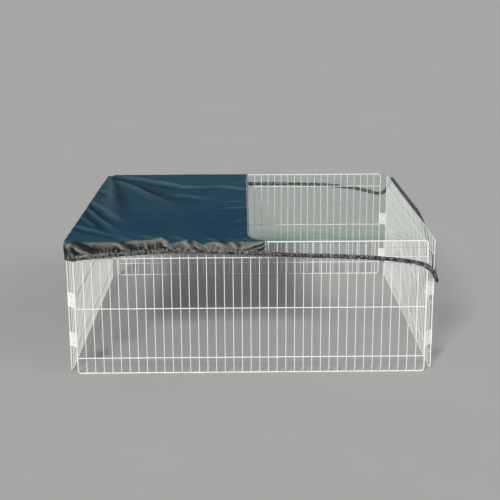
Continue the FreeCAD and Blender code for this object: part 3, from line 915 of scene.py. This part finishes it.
@dataclass
class CoverForm:
    """The line that the cover takes over the panels: its sag, seam, skirts and hem."""

    line: float
    top: float
    hem_line: float
    hem_turn: float
    corner_round: float
    hem_corner: float = 0.030
    rise: float = 0.0012
    wrap: float = 0.004
    seam_set: float = -0.007
    seam_slack: float = 0.0025
    seam_flare: float = 0.049
    flare_length: float = 0.160
    seam_sag: float = 0.022
    net_sag: float = 0.046
    corner_spread: float = 0.045
    corner_power: float = 1.25
    corner_fall: float = 0.008
    held_edge: float = 0.022
    fold_pitch: float = 0.030
    fold_lean: float = 0.022
    fold_height: float = 0.0190
    crown: float = 0.0045
    hems: dict[Half, tuple[HemPoint, ...]] = field(
        default_factory=lambda: {Half.SHADE: SHADE_HEM, Half.NET: NET_HEM}
    )

    @classmethod
    def from_frame(cls) -> "CoverForm":
        """Reads the cover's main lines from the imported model.

        Returns:
            The form.
        """
        low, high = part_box("front_frame")
        hem_low, hem_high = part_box("hem_casing_shade")
        hem_line = -hem_low.y - (hem_high.z - hem_low.z) / 2
        line = -(low.y + high.y) / 2
        return cls(line, high.z, hem_line, hem_turn=hem_line - cls.hem_corner, corner_round=line - high.x)

    def seam(self, y: float) -> float:
        """Place of the seam across the run, which flares to the right at the front.

        Args:
            y: Along the run.

        Returns:
            The place in metres.
        """
        flare = max(0.0, 1.0 - (y + self.line) / self.flare_length) ** 3
        slack = self.seam_slack * wander(y * 5.0, 0.0, 2.0)
        return self.seam_set + slack + (self.seam_flare - self.seam_set) * flare

    def across(self, flat: Vector, half: Half) -> float:
        """Place across the run of a point of a flat half, once its inner edge is drawn to the seam."""
        way = 1.0 if half is Half.SHADE else -1.0
        return flat.x + (1.0 + way * flat.x / self.line) * self.seam(flat.y)

    def sag(self, x: float, y: float) -> float:
        """Depth that the cover hangs below the top wires.

        Args:
            x: Across the run.
            y: Along the run.

        Returns:
            The depth in metres.
        """
        middle = max(0.0, 1.0 - (y / self.line) ** 2)
        share = min(1.0, max(-1.0, x / self.line))
        if share < 0.0:
            return self.seam_sag * (1.0 + share) ** 1.5 * middle
        return (self.seam_sag * (1.0 - share) + 4.0 * self.net_sag * share * (1.0 - share)) * middle

    def level(self, x: float, y: float) -> float:
        """Height of the sagging cover."""
        return self.top + self.rise - self.sag(x, y)

    def hem_at(self, half: Half, side: Side, along: float) -> Flat:
        """Place of the hem's middle beside a point of a side.

        Args:
            half: Shade or net.
            side: Side of the run.
            along: Place along the side, from its middle.

        Returns:
            The hem's depth below the top wires, and its way out from the panel, in metres.
        """
        share = along / self.hem_turn
        points = [point for point in self.hems[half] if point.side % len(Side) == side.value]
        end = points[0] if share <= points[0].share else points[-1]
        drop, inset = end.drop, end.inset
        for near, far in zip(points, points[1:]):
            if near.share < share <= far.share:
                part = (share - near.share) / (far.share - near.share)
                drop = near.drop + (far.drop - near.drop) * part
                inset = near.inset + (far.inset - near.inset) * part
        return drop, self.hem_line - self.line - inset

    def hem_route(self, half: Half) -> list[Vector]:
        """Control points of one half's hem.

        Args:
            half: Shade or net.

        Returns:
            The points in metres.
        """
        route = []
        for point in self.hems[half]:
            flat = Vector((self.hem_turn * point.share, point.inset - self.hem_line, self.top - point.drop))
            route.append(turned(point.side) @ flat)
        return route

    def rounded(self, place: Vector, slack: float = 1.0) -> Vector:
        """Draws a point in and down at a corner, where the cover runs from panel to panel.

        Args:
            place: Point as if the corner were square.
            slack: Share of the corner's fall that the point takes.

        Returns:
            The point on the drawn-in corner.
        """
        start = self.line - self.corner_round
        past_x, past_y = abs(place.x) - start, abs(place.y) - start
        if past_x <= 0.0 or past_y <= 0.0:
            return place
        power = self.corner_power
        share = max(past_x, past_y) / (past_x**power + past_y**power) ** (1.0 / power)
        x, y = start + past_x * share, start + past_y * share
        fall = self.corner_fall * slack * min(1.0, min(past_x, past_y) / self.corner_round)
        return Vector((math.copysign(x, place.x), math.copysign(y, place.y), place.z - fall))

    def edge_of(self, place: Vector) -> tuple[Side, float]:
        """Finds the side that a point of the flat sheet's edge is on.

        Args:
            place: Point on the edge of the flat sheet.

        Returns:
            The side, and the place along it.
        """
        reach = self.line - EDGE_ROOM
        if place.y < -reach:
            return Side.FRONT, place.x
        if place.y > reach:
            return Side.BACK, -place.x
        return (Side.RIGHT, place.y) if place.x > 0.0 else (Side.LEFT, -place.y)

    def skirt_edge(self, flat: Vector, half: Half) -> tuple[Side, float]:
        """Side, and place along it, of a point of a flat skirt."""
        x = self.across(flat, half) if abs(flat.y) > self.line - EDGE_ROOM else flat.x
        return self.edge_of(Vector((x, flat.y, 0.0)))

    def near_end(self, flat: Vector) -> tuple[Side, float]:
        """The front or back, whichever a point of the shade's top is nearer to, and the place along it."""
        return self.edge_of(Vector((self.across(flat, Half.SHADE), math.copysign(self.line, flat.y), 0.0)))

    def near_corner(self, along: float) -> float:
        """How near a place along a side is to its corner, from 0 to 1."""
        return eased(1.0 - (self.line - abs(along)) / self.corner_spread)

    def hang(self, side: Side, along: float, depth: float, length: float, hem: Flat, puff: float) -> Vector:
        """Place of a point of a skirt.

        Args:
            side: Side that the skirt hangs on.
            along: Place along the side, from its middle.
            depth: Way down the flat skirt from the top wire.
            length: Whole length of the flat skirt.
            hem: Depth of the hem's middle here, and its way out from the panel.
            puff: How far a fold stands out here.

        Returns:
            The place in metres.
        """
        arc = self.wrap * math.pi / 2
        fall = hem[0] + self.rise
        if depth <= arc:
            turn = depth / self.wrap
            out = self.wrap * math.sin(turn) + puff * depth / arc
            down = min(self.wrap * (1.0 - math.cos(turn)), max(0.0, fall))
        else:
            share = (depth - arc) / (length - arc)
            out = self.wrap + (hem[1] - self.wrap) * share**1.3 + puff
            start = min(self.wrap, max(0.0, fall))
            down = start + (fall - start) * share
        spread = math.copysign(out * self.near_corner(along), along)
        flat = Vector((along + spread, -self.line - out, self.top + self.rise - down))
        return self.rounded(turned(side.value) @ flat, 1.0 - depth / length)

    def puff(self, side: Side, along: float, share: float) -> float:
        """Uneven gathers of a skirt.

        Args:
            side: Side that the skirt hangs on.
            along: Place along the side, from its middle.
            share: Way down the skirt, from 0 to 1.

        Returns:
            How far the gathers stand out, from 0 to about 1.
        """
        walk = along + 2.0 * side.value
        lean = walk + self.fold_lean * share * wander(walk * 5.0, 0.0, 17.0) * 2.5
        lean += 0.02 * wander(walk * 8.0, 0.0, 4.0)
        broad = abs(wander(lean / self.fold_pitch, 0.7 * share, 1.3))
        ridge = (1.0 - abs(wander(lean * 0.8 / self.fold_pitch, 0.9 * share + 0.4, 9.3))) ** 7
        fine = abs(wander(lean * 2.6 / self.fold_pitch, 1.2 * share, 6.7))
        return 0.9 * broad + 0.42 * ridge + 0.6 * fine * share


@dataclass
class CoverPiece:
    """A soft piece of the cover; the real piece bunches up to the front panel when the run is folded."""

    form: CoverForm
    bunched_share: float = 0.0475

    def seat(self, piece: Piece, finish: Paint, slot: str, nodes: Sequence[str]) -> None:
        """Dresses a finished piece, ties it to the cover and hides the CAD nodes that it stands for.

        Args:
            piece: Finished piece.
            finish: Its material.
            slot: Not used.
            nodes: CAD nodes that it stands for.
        """
        Shop.paint(piece, finish)
        Shop.smooth(piece)
        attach(piece, "cover")
        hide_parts(*nodes)
        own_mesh(piece)
        LOG.info("%s: %d faces", piece.name, len(piece.data.polygons))


@dataclass
class ShadeCloth(CoverPiece):
    """The shade half: one sheet over the left half, with gathered skirts on three sides."""

    cell: float = 0.005
    thickness: float = 0.0008
    skirt_rows: tuple[float, ...] = (0.00314,) * 2 + (0.005,) * 7 + (0.0055,)
    tight_share: float = 0.35
    calm_share: float = 0.6
    drift: float = 0.0050
    fine_drift: float = 0.0005
    crown_reach: float = 0.014
    ridge_height: float = 0.007
    crease_depth: float = 0.008
    fold_depth: float = 0.009
    dust_edge: float = 0.007
    dust_wave: float = 0.003
    pressed_in: float = 0.002
    pleat_pitch: float = 0.014
    pleat_height: float = 0.0045
    creases: tuple[Crease, ...] = TOP_CREASES
    folds: tuple[Crease, ...] = FRONT_FOLDS
    rolls: tuple[Roll, ...] = FRONT_ROLLS

    @property
    def length(self) -> float:
        """Length of the flat skirt."""
        return sum(self.skirt_rows)

    def build(self, finish: Paint, hem: Piece, tape: Piece) -> None:
        """Makes the cloth.

        Args:
            finish: The cloth's material.
            hem: Not used.
            tape: Not used.
        """
        line = self.form.line
        columns, rows = round(line / self.cell), round(2 * line / self.cell)
        cloth = Shop.grid("shade_cloth", columns, rows, (-line, -line), (0.0, line))
        Shop.drop_edges(cloth, lambda middle: middle.x < -self.cell / 4, self.skirt_rows)
        Shop.split(cloth, lambda middle: middle.z < 0.0 and middle.y < -line + EDGE_ROOM)
        Shop.flat_map(cloth, self.flat_place)
        Shop.shape(cloth, self.place)
        Shop.apply(cloth, "SOLIDIFY", thickness=self.thickness, offset=-1.0)
        nodes = ("shade_top", "shade_skirt_front", "shade_skirt_left", "shade_skirt_back")
        self.seat(cloth, finish, "shade_cloth", nodes)
        line + self.length
        2 * (line + self.length)

    def flat_place(self, corner: Vector, middle: Vector) -> Flat:
        """Place of a vertex on the flat cloth, with the skirts laid out round the top.

        Args:
            corner: The vertex.
            middle: Middle of the face that it is a corner of.

        Returns:
            The place in metres.
        """
        if middle.z == 0.0:
            return corner.x, corner.y
        side, _ = self.form.edge_of(middle)
        if side is Side.LEFT:
            return corner.x + corner.z, corner.y
        return corner.x, corner.y + math.copysign(corner.z, -corner.y)

    def place(self, flat: Vector) -> Placed:
        """Place of a point of the cloth.

        Args:
            flat: The point on the flat cloth, dropped by its depth on a skirt.

        Returns:
            Its place, how far down it lies, its share of painted sheen, and its painted crease shade and
            ridge highlight.
        """
        depth = -flat.z
        place, hollow = self.skirt(flat, depth) if depth > 0.0 else self.over(flat)
        return place, {"fall": depth / self.length, "dust": self.dust(flat, depth), "hollow": hollow}

    def over(self, flat: Vector) -> tuple[Vector, float]:
        """Place of a point of the cloth's top.

        Args:
            flat: The point on the flat cloth.

        Returns:
            Its place, and its painted shade, from 1 in a crease to -1 for a painted highlight on a ridge.
        """
        form = self.form
        x = form.across(flat, Half.SHADE)
        from_left, from_end = flat.x + form.line, form.line - abs(flat.y)
        held = eased(min(from_left, from_end) / form.held_edge)
        pulled = sum(crease.rise(x, flat.y) for crease in self.creases)
        drift = self.drift * wander(x * 6.0, flat.y * 6.0, 3.0)
        drift += self.fine_drift * wander(x * 24.0, flat.y * 24.0, 8.0)
        crown = self.crown(*form.near_end(flat)) * math.exp(-max(0.0, from_end) / self.crown_reach)
        crown += self.crown(Side.LEFT, -flat.y) * math.exp(-from_left / self.crown_reach)
        loose = 0.5 * max(pulled, 0.0) * (1.0 - held) + (pulled + drift) * held
        height = form.level(x, flat.y) + loose + crown
        # Painted shade in the creases, and a painted highlight on the ridges
        shade = 0.85 * min(1.0, -pulled / self.crease_depth)
        if pulled > 0.0:
            shade = max(-1.0, -pulled / self.ridge_height)
        return form.rounded(Vector((x, flat.y, height))), shade

    def roll(self, side: Side, along: float) -> float:
        """Height of the rolls, or depth of the dips, at a place along a side."""
        return sum(roll.rise(along) for roll in self.rolls) if side is Side.FRONT else 0.0

    def crown(self, side: Side, along: float) -> float:
        """Height to which the gathers stand over the top wire at a place along a side.

        Args:
            side: Side of the run.
            along: Place along the side, from its middle.

        Returns:
            The height in metres.
        """
        share = {Side.FRONT: 1.0, Side.BACK: 0.3, Side.LEFT: 0.5}.get(side, 0.0)
        gathers = share * self.form.crown * self.form.puff(side, along, 0.1)
        return max(0.0, gathers + self.roll(side, along))

    def dust(self, flat: Vector, depth: float) -> float:
        """How dusty the cloth is, from 0 on its top to 1 past the uneven edge of its skirts.

        Args:
            flat: The point on the flat cloth, dropped by its depth on a skirt.
            depth: Way down the skirt.

        Returns:
            The share of painted sheen.
        """
        form = self.form
        side, along = form.skirt_edge(flat, Half.SHADE) if depth > 0.0 else form.near_end(flat)
        way = depth if depth > 0.0 else abs(flat.y) - form.line
        lift = 0.9 * self.roll(side, along) + self.dust_wave * (form.puff(side, along, 0.1) - 0.5)
        return eased((way + lift) / self.dust_edge)

    def pleat(self, along: float, share: float) -> Flat:
        """Small pleats where the front skirt is gathered on the hem.

        Args:
            along: Place along the front.
            share: Way down the skirt, from 0 to 1.

        Returns:
            How far a pleat stands out, in metres, and its painted shade, from 1 in a crease to -1 for a
            painted highlight on a ridge.
        """
        high = 0.45 + 0.9 * wander(along * 14.0, 0.0, 35.0)
        close = eased((share - high) / 0.4)
        beat = along / self.pleat_pitch + 1.6 * wander(along * 17.0, 0.6 * share, 33.0)
        wave = abs(math.sin(math.pi * beat))
        return self.pleat_height * (wave - 0.4) * close, (0.75 - 1.5 * wave) * close

    def skirt(self, flat: Vector, depth: float) -> tuple[Vector, float]:
        """Place of a point of a skirt.

        Args:
            flat: The point on the sheet's edge, dropped by its depth.
            depth: Way down the skirt.

        Returns:
            Its place, and its painted shade, from 1 in a crease to -1 for a painted highlight on a ridge.
        """
        form = self.form
        side, along = form.skirt_edge(flat, Half.SHADE)
        share = depth / self.length
        gathers = form.puff(side, along, share)
        folds, pinched, pinch = 0.0, 0.0, 0.0
        if side is Side.FRONT:
            folds = sum(fold.rise(along, depth) for fold in self.folds)
            pinched, pinch = self.pleat(along, share)
        belly = math.sin(math.pi * min(1.0, share) ** 0.8)
        stand = form.fold_height * gathers * (0.25 + 0.75 * belly) + folds * (0.35 + 0.65 * belly)
        stand = max(-self.pressed_in, stand) * (1.0 - 0.6 * share**4) + pinched
        stand *= {Side.LEFT: self.tight_share, Side.BACK: self.calm_share}.get(side, 1.0)
        place = form.hang(side, along, depth, self.length, form.hem_at(Half.SHADE, side, along), stand)
        place.z += self.crown(side, along) * (1.0 - share) ** 3
        # Painted shade between gathers, in fold hollows and in pleat creases, and painted highlights on
        # their ridges
        hollow = eased(0.5 - 1.6 * gathers) * 0.7 * eased(share / 0.3)
        hollow += min(1.0, max(0.0, -folds / self.fold_depth))
        hollow += max(0.0, pinch)
        ridge = max(eased((gathers - 0.55) / 0.5), min(1.0, folds / self.fold_depth), -pinch)
        return place, min(1.0, hollow) - max(0.0, ridge * eased(share / 0.1))


@dataclass
class NetHalf(CoverPiece):
    """The net half: thin crossing threads that sag over the right half and hang to the hem."""

    cell: float = 0.0265
    thread: float = 0.0007
    skirt_rows: int = 6
    slip: float = 0.006
    held_edge: float = 0.06
    least_drop: float = 0.002
    least_fall: float = 0.003
    spare: float = 0.004

    def build(self, finish: Paint) -> None:
        """Makes the net.

        Args:
            finish: The thread's material.
        """
        line = self.form.line
        columns, rows = round(line / self.cell), round(2 * line / self.cell)
        net = Shop.grid("net_threads", columns, rows, (0.0, -line), (line, line))
        Shop.drop_edges(net, lambda middle: middle.x > self.cell / 4, [1.0] * self.skirt_rows)
        Shop.shape(net, lambda flat: (self.skirt(flat) if flat.z < 0.0 else self.over(flat), {}))
        Shop.merge(net, self.thread)
        threads = {"use_even_offset": False, "use_boundary": True, "use_replace": True}
        Shop.apply(net, "WIREFRAME", thickness=self.thread, **threads)
        nodes = ("net_top", "net_skirt_front", "net_skirt_right", "net_skirt_back")
        self.seat(net, finish, "net", nodes)

    def over(self, flat: Vector) -> Vector:
        """Place of a knot of the net's top.

        Args:
            flat: The knot on the flat net.

        Returns:
            Its place in metres.
        """
        form = self.form
        x = form.across(flat, Half.NET)
        loose = eased(min(form.line - flat.x, form.line - abs(flat.y)) / self.held_edge)
        slip_x = self.slip * wander(x * 9.0, flat.y * 9.0, 11.0) * loose * eased(flat.x / self.held_edge)
        slip_y = self.slip * wander(x * 9.0, flat.y * 9.0, 15.0) * loose
        slack = self.slip * wander(x * 7.0, flat.y * 7.0, 19.0) * loose
        return form.rounded(Vector((x + slip_x, flat.y + slip_y, form.level(x, flat.y) + slack)))

    def skirt(self, flat: Vector) -> Vector:
        """Place of a knot of a skirt.

        Args:
            flat: The knot on the net's edge, dropped by one metre for each row.

        Returns:
            Its place in metres.
        """
        form = self.form
        side, along = form.skirt_edge(flat, Half.NET)
        drop, out = form.hem_at(Half.NET, side, along)
        drop = max(drop, self.least_drop)
        near = form.near_corner(along)
        if near > 0.0:
            other = Side((side.value + (1 if along > 0.0 else -1)) % len(Side))
            over, _ = form.hem_at(Half.NET, other, -math.copysign(form.hem_turn, along))
            drop += (over - drop) * near / 2
        length = max(form.wrap * math.pi / 2 + self.least_fall, drop + self.spare)
        depth = min(length, round(-flat.z) * self.cell)
        return form.hang(side, along, depth, length, (drop, out), 0.0)


@dataclass
class HemCasing(CoverPiece):
    """One half's gathered hem casing: a scrunched tube of cloth round the elastic."""

    half: Half = Half.SHADE
    ring_step: float = 0.0019
    around: int = 16
    half_height: float = 0.0085
    half_depth: float = 0.0052
    frill: float = 0.0036
    pleat_pitch: float = 0.0125
    pleat_depth: float = 0.55
    slant: float = 0.25
    order: float = 0.75
    seam_reach: float = 0.00002

    def build(self, finish: Paint) -> Piece:
        """Makes the casing as a straight gathered tube and bends it along the hem.

        Args:
            finish: The casing's material.

        Returns:
            The finished casing.
        """
        name = f"hem_{self.half.value}"
        route = Shop.route(f"{name}_route", self.form.hem_route(self.half))
        length = route.data.splines[0].calc_length()
        casing = Shop.grid(name, round(length / self.ring_step), self.around, (0.0, 0.0), (length, 1.0))
        Shop.flat_map(casing, lambda corner, middle: (corner.x, corner.y * 2.0 * math.pi * self.half_depth))
        Shop.shape(casing, self.gather)
        Shop.close_tube(casing, self.seam_reach)
        Shop.apply(casing, "CURVE", object=route, deform_axis="POS_X")
        bpy.data.objects.remove(route)
        self.seat(casing, finish, "hem_cloth", (f"hem_casing_{self.half.value}",))
        return casing

    def gather(self, flat: Vector) -> Placed:
        """Place of a point of the straight gathered tube.

        Args:
            flat: Its way along the tube, and its way round from 0 to 1, from the outside upwards.

        Returns:
            Its place, and its painted shade, from 0 on a ridge to 1 in a crease.
        """
        walk = flat.x
        angle = 2.0 * math.pi * flat.y
        out, up = math.cos(angle), math.sin(angle)
        beat = walk / self.pleat_pitch + 1.5 * wander(walk * 19.0, 0.0, 21.0)
        beat += self.slant * (up + 0.8 * out) * (0.4 + 2.0 * wander(walk * 16.0, 0.0, 23.0))
        bulge = abs(math.sin(math.pi * beat)) ** 0.8
        swell = 0.8 + 1.1 * wander(walk * 38.0, 0.5 * up, 25.0)
        crumple = 1.0 - 2.4 * abs(wander(walk * 78.0, 1.3 * out, 27.0 + 1.3 * up))
        lump = self.order * bulge * swell + (1.0 - self.order) * crumple
        size = 1.0 + self.pleat_depth * (lump - 0.5)
        low = max(0.0, -up) ** 1.5
        depth = self.half_depth * size * (1.0 - 0.45 * low)
        sway = self.frill * math.sin(math.pi * beat + 1.0) * low
        height = self.half_height * (0.35 + 0.65 * size)
        # Painted shade: the cloth darkens into the creases between pleats
        hollow = min(1.0, max(0.0, 2.05 - 3.0 * lump))
        return Vector((walk, -depth * out - sway, height * up)), {"hollow": hollow}


@dataclass
class SeamTape(CoverPiece):
    """The pale tape sewn over the seam of cloth and net, and down both its ends."""

    width: float = 0.007
    columns: int = 4
    cell: float = 0.005
    thickness: float = 0.0008
    pucker: float = 0.0006
    lift: float = 0.0006
    end_lift: float = 0.0008
    end_rows: tuple[float, ...] = (0.00314,) * 2 + (0.005,) * 6

    def build(self, finish: Paint, cloth: ShadeCloth) -> Piece:
        """Makes the tape.

        Args:
            finish: The tape's material.
            cloth: The shade cloth that it lies on.

        Returns:
            The finished tape.
        """
        line, half = self.form.line, self.width / 2
        rows = round(2 * line / self.cell)
        tape = Shop.grid("seam_binding", self.columns, rows, (-half, -line), (half, line))
        Shop.drop_edges(tape, lambda middle: abs(middle.y) > line - EDGE_ROOM, self.end_rows)
        Shop.flat_map(tape, lambda corner, middle: (corner.x, corner.y + math.copysign(corner.z, -corner.y)))
        Shop.shape(tape, lambda flat: (self.place(flat, cloth), {}))
        Shop.apply(tape, "SOLIDIFY", thickness=self.thickness, offset=1.0)
        self.seat(tape, finish, "seam_tape", ("seam_tape",))
        return tape

    def place(self, flat: Vector, cloth: ShadeCloth) -> Vector:
        """Place of a point of the tape, just above the cloth.

        Args:
            flat: The point on the flat tape.
            cloth: The cloth below it.

        Returns:
            Its place in metres.
        """
        form = self.form
        depth = -flat.z
        pucker = self.pucker * wander(flat.y * 70.0, flat.x * 90.0 + depth * 70.0, 31.0)
        edge = Vector((0.0, flat.y, flat.z))
        if depth == 0.0:
            base, _ = cloth.over(edge)
            near = form.sag(base.x + flat.x, flat.y) - form.sag(base.x, flat.y)
            return base + Vector((flat.x, 0.0, self.lift + pucker - near))
        base, _ = cloth.skirt(edge, depth)
        return base + Vector((flat.x, math.copysign(self.end_lift + pucker, flat.y), 0.0))


@dataclass
class ElasticCord(CoverPiece):
    """The elastic cord that runs round inside the whole hem."""

    thickness: float = 0.005

    def build(self, finish: Paint) -> None:
        """Makes the cord.

        Args:
            finish: The cord's material.
        """
        points = self.form.hem_route(Half.NET)[:-1] + self.form.hem_route(Half.SHADE)[:-1]
        cord = Shop.route("elastic", points, ring=True)
        cord.data.bevel_depth = self.thickness / 2
        cord.data.bevel_resolution = 2
        cord.data.resolution_u = 10
        Shop.pick(cord)
        bpy.ops.object.convert(target="MESH")
        self.seat(bpy.context.object, finish, "elastic", ("elastic_cord",))


@dataclass
class WirePanels:
    """The four wire panels, with the weld beads where their wires cross."""

    parts: tuple[str, ...] = ("frame", "uprights", "cross_wires")
    wire_pitch: float = 0.0292
    upright_count: int = 39
    frame_wire: float = 0.004
    edge_band: float = 0.055
    bead: float = 0.0019
    bead_flow: tuple[float, float, float] = (1.0, 0.75, 0.85)

    def dress(self, finish: Paint) -> None:
        """Paints the CAD wires.

        Args:
            finish: The coat on the wires.
        """
        for side in Side:
            for part in self.parts:
                Shop.paint(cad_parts[f"{side.label}_{part}"], finish)
        LOG.info("panels: %d wire groups painted", len(self.parts) * len(Side))

    def weld(self, finish: Paint) -> None:
        """Adds the weld beads of every panel.

        Args:
            finish: The coat on the beads.
        """
        first = self.bead_rows()
        for side in Side:
            beads = first
            if side is not Side.FRONT:
                beads = first.copy()
                beads.data = first.data.copy()
                bpy.context.collection.objects.link(beads)
                beads.data.transform(turned(side.value, 4))
            beads.name = f"{side.label}_weld_beads"
            Shop.paint(beads, finish)
            Shop.smooth(beads)
            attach(beads, f"{side.label}_panel")
            LOG.info("%s: %d faces", beads.name, len(beads.data.polygons))

    @staticmethod
    def depth_of(part: str) -> float:
        """Middle of a part of the front panel, from front to back."""
        low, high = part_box(f"front_{part}")
        return (low.y + high.y) / 2

    def bead_rows(self) -> Piece:
        """Makes the front panel's beads: one bead, copied along each level wire.

        Returns:
            The beads of one panel as one object.
        """
        line, upright, behind = (self.depth_of(part) for part in self.parts)
        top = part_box("front_frame")[1].z
        rails = [(height, line) for height in (self.frame_wire / 2, top - self.frame_wire / 2)]
        rails += [(height, behind) for height in (self.edge_band, top / 2, top - self.edge_band)]
        first = -(self.upright_count - 1) / 2 * self.wire_pitch
        rows = []
        for height, depth in rails:
            Shop.clear_selection()
            start = (first, (depth + upright) / 2, height)
            bpy.ops.mesh.primitive_ico_sphere_add(subdivisions=1, radius=self.bead, location=start)
            rows.append(Shop.settle(self.bead_flow))
            Shop.apply(
                rows[-1],
                "ARRAY",
                count=self.upright_count,
                use_relative_offset=False,
                use_constant_offset=True,
                constant_offset_displace=(self.wire_pitch, 0.0, 0.0),
            )
        Shop.pick(*rows)
        bpy.ops.object.join()
        return rows[0]


@dataclass
class CornerClips:
    """The eight riveted corner clips."""

    corners: tuple[str, ...] = ("front_right", "back_right", "back_left", "front_left")

    def dress(self, sheet: Paint, rivet: Paint) -> None:
        """Paints the CAD clips and rivets.

        Args:
            sheet: The coat on the folded strips.
            rivet: The coat on the rivets.
        """
        for corner in self.corners:
            for level in Level:
                Shop.paint(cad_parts[f"{corner}_{level.value}_clip"], sheet)
                Shop.paint(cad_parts[f"{corner}_{level.value}_rivets"], rivet)
        LOG.info("clips: %d dressed", len(self.corners) * len(Level))


@dataclass(frozen=True)
class Lamp:
    """A broad, far, soft lamp, by its bearing from the front and its height, in degrees."""

    name: str
    bearing: float
    height: float
    spread: float
    power: float
    colour: tuple[float, float, float] = (1.0, 1.0, 1.0)


@dataclass
class Studio:
    """Pale floor, soft lamps, and the camera at the photograph's view."""

    floor_size: float = 200.0
    eye: tuple[float, float, float] = (-0.02531, -3.92456, 1.28408)
    yaw: float = 0.007
    pitch: float = 0.2527
    roll: float = -0.0054
    lens: float = 75.13
    sensor: float = 36.0
    sky: Colour = (0.93, 0.96, 1.0, 1.0)
    sky_strength: float = 0.29
    lamp_distance: float = 5.0
    lamps: tuple[Lamp, ...] = (
        Lamp("key", -20.0, 31.0, 12.0, 3.0, (1.0, 0.98, 0.95)),
        Lamp("fill", 60.0, 30.0, 40.0, 0.7),
    )

    def build(self, finish: Paint) -> None:
        """Sets up floor, light and camera.

        Args:
            finish: The floor's paint.
        """
        half = self.floor_size / 2
        floor = Shop.grid("floor", 1, 1, (-half, -half), (half, half))
        Shop.paint(floor, finish)
        self.light()
        self.camera()

    def light(self) -> None:
        """Makes the soft lamps and the even light of the room."""
        world = bpy.data.worlds.new("Room")
        world.use_nodes = True
        backdrop = world.node_tree.nodes["Background"]
        backdrop.inputs["Color"].default_value = self.sky
        backdrop.inputs["Strength"].default_value = self.sky_strength
        bpy.context.scene.world = world
        for lamp in self.lamps:
            data = bpy.data.lights.new(lamp.name, "SUN")
            data.angle = math.radians(lamp.spread)
            data.energy = lamp.power
            data.color = lamp.colour
            light = bpy.data.objects.new(lamp.name, data)
            turn, height = math.radians(lamp.bearing), math.radians(lamp.height)
            level = math.cos(height)
            source = Vector((math.sin(turn) * level, -math.cos(turn) * level, math.sin(height)))
            light.location = source * self.lamp_distance
            light.rotation_mode = "QUATERNION"
            light.rotation_quaternion = (-source).to_track_quat("-Z", "Y")
            bpy.context.collection.objects.link(light)

    def camera(self) -> None:
        """Puts the camera at the photograph's place."""
        data = bpy.data.cameras.new("photo_view")
        data.lens = self.lens
        data.sensor_width = self.sensor
        camera = bpy.data.objects.new("photo_view", data)
        turn = Matrix.Rotation(-self.yaw, 4, "Z") @ Matrix.Rotation(math.pi / 2 - self.pitch, 4, "X")
        camera.matrix_world = Matrix.Translation(self.eye) @ turn @ Matrix.Rotation(self.roll, 4, "Z")
        bpy.context.collection.objects.link(camera)
        bpy.context.scene.camera = camera
        bpy.context.scene.view_settings.view_transform = "Standard"


def main() -> None:
    """Builds and dresses the run, piece by piece."""
    logging.basicConfig(level=logging.INFO, format="%(message)s")
    Studio().build(FloorPaint().material())
    coat = PowderCoat().material()
    panels = WirePanels()
    panels.dress(coat)
    panels.weld(coat)
    CornerClips().dress(coat, RubbedPaint().material())
    form = CoverForm.from_frame()
    under_shade = HemCasing(form, half=Half.SHADE, order=0.5, pleat_depth=0.65)
    under_net = HemCasing(form, half=Half.NET, half_height=0.0070, frill=0.0016, pleat_depth=0.8, order=0.3)
    hem = under_shade.build(SHADE_HEM_CLOTH.material())
    under_net.build(NET_HEM_CLOTH.material())
    cloth = ShadeCloth(form)
    tape = SeamTape(form).build(WovenTape().material(), cloth)
    cloth.build(CoatedCloth().material(), hem, tape)
    NetHalf(form).build(NetThread().material())
    ElasticCord(form).build(BraidedElastic().material())
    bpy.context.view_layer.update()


if __name__ == "__main__":
    main()
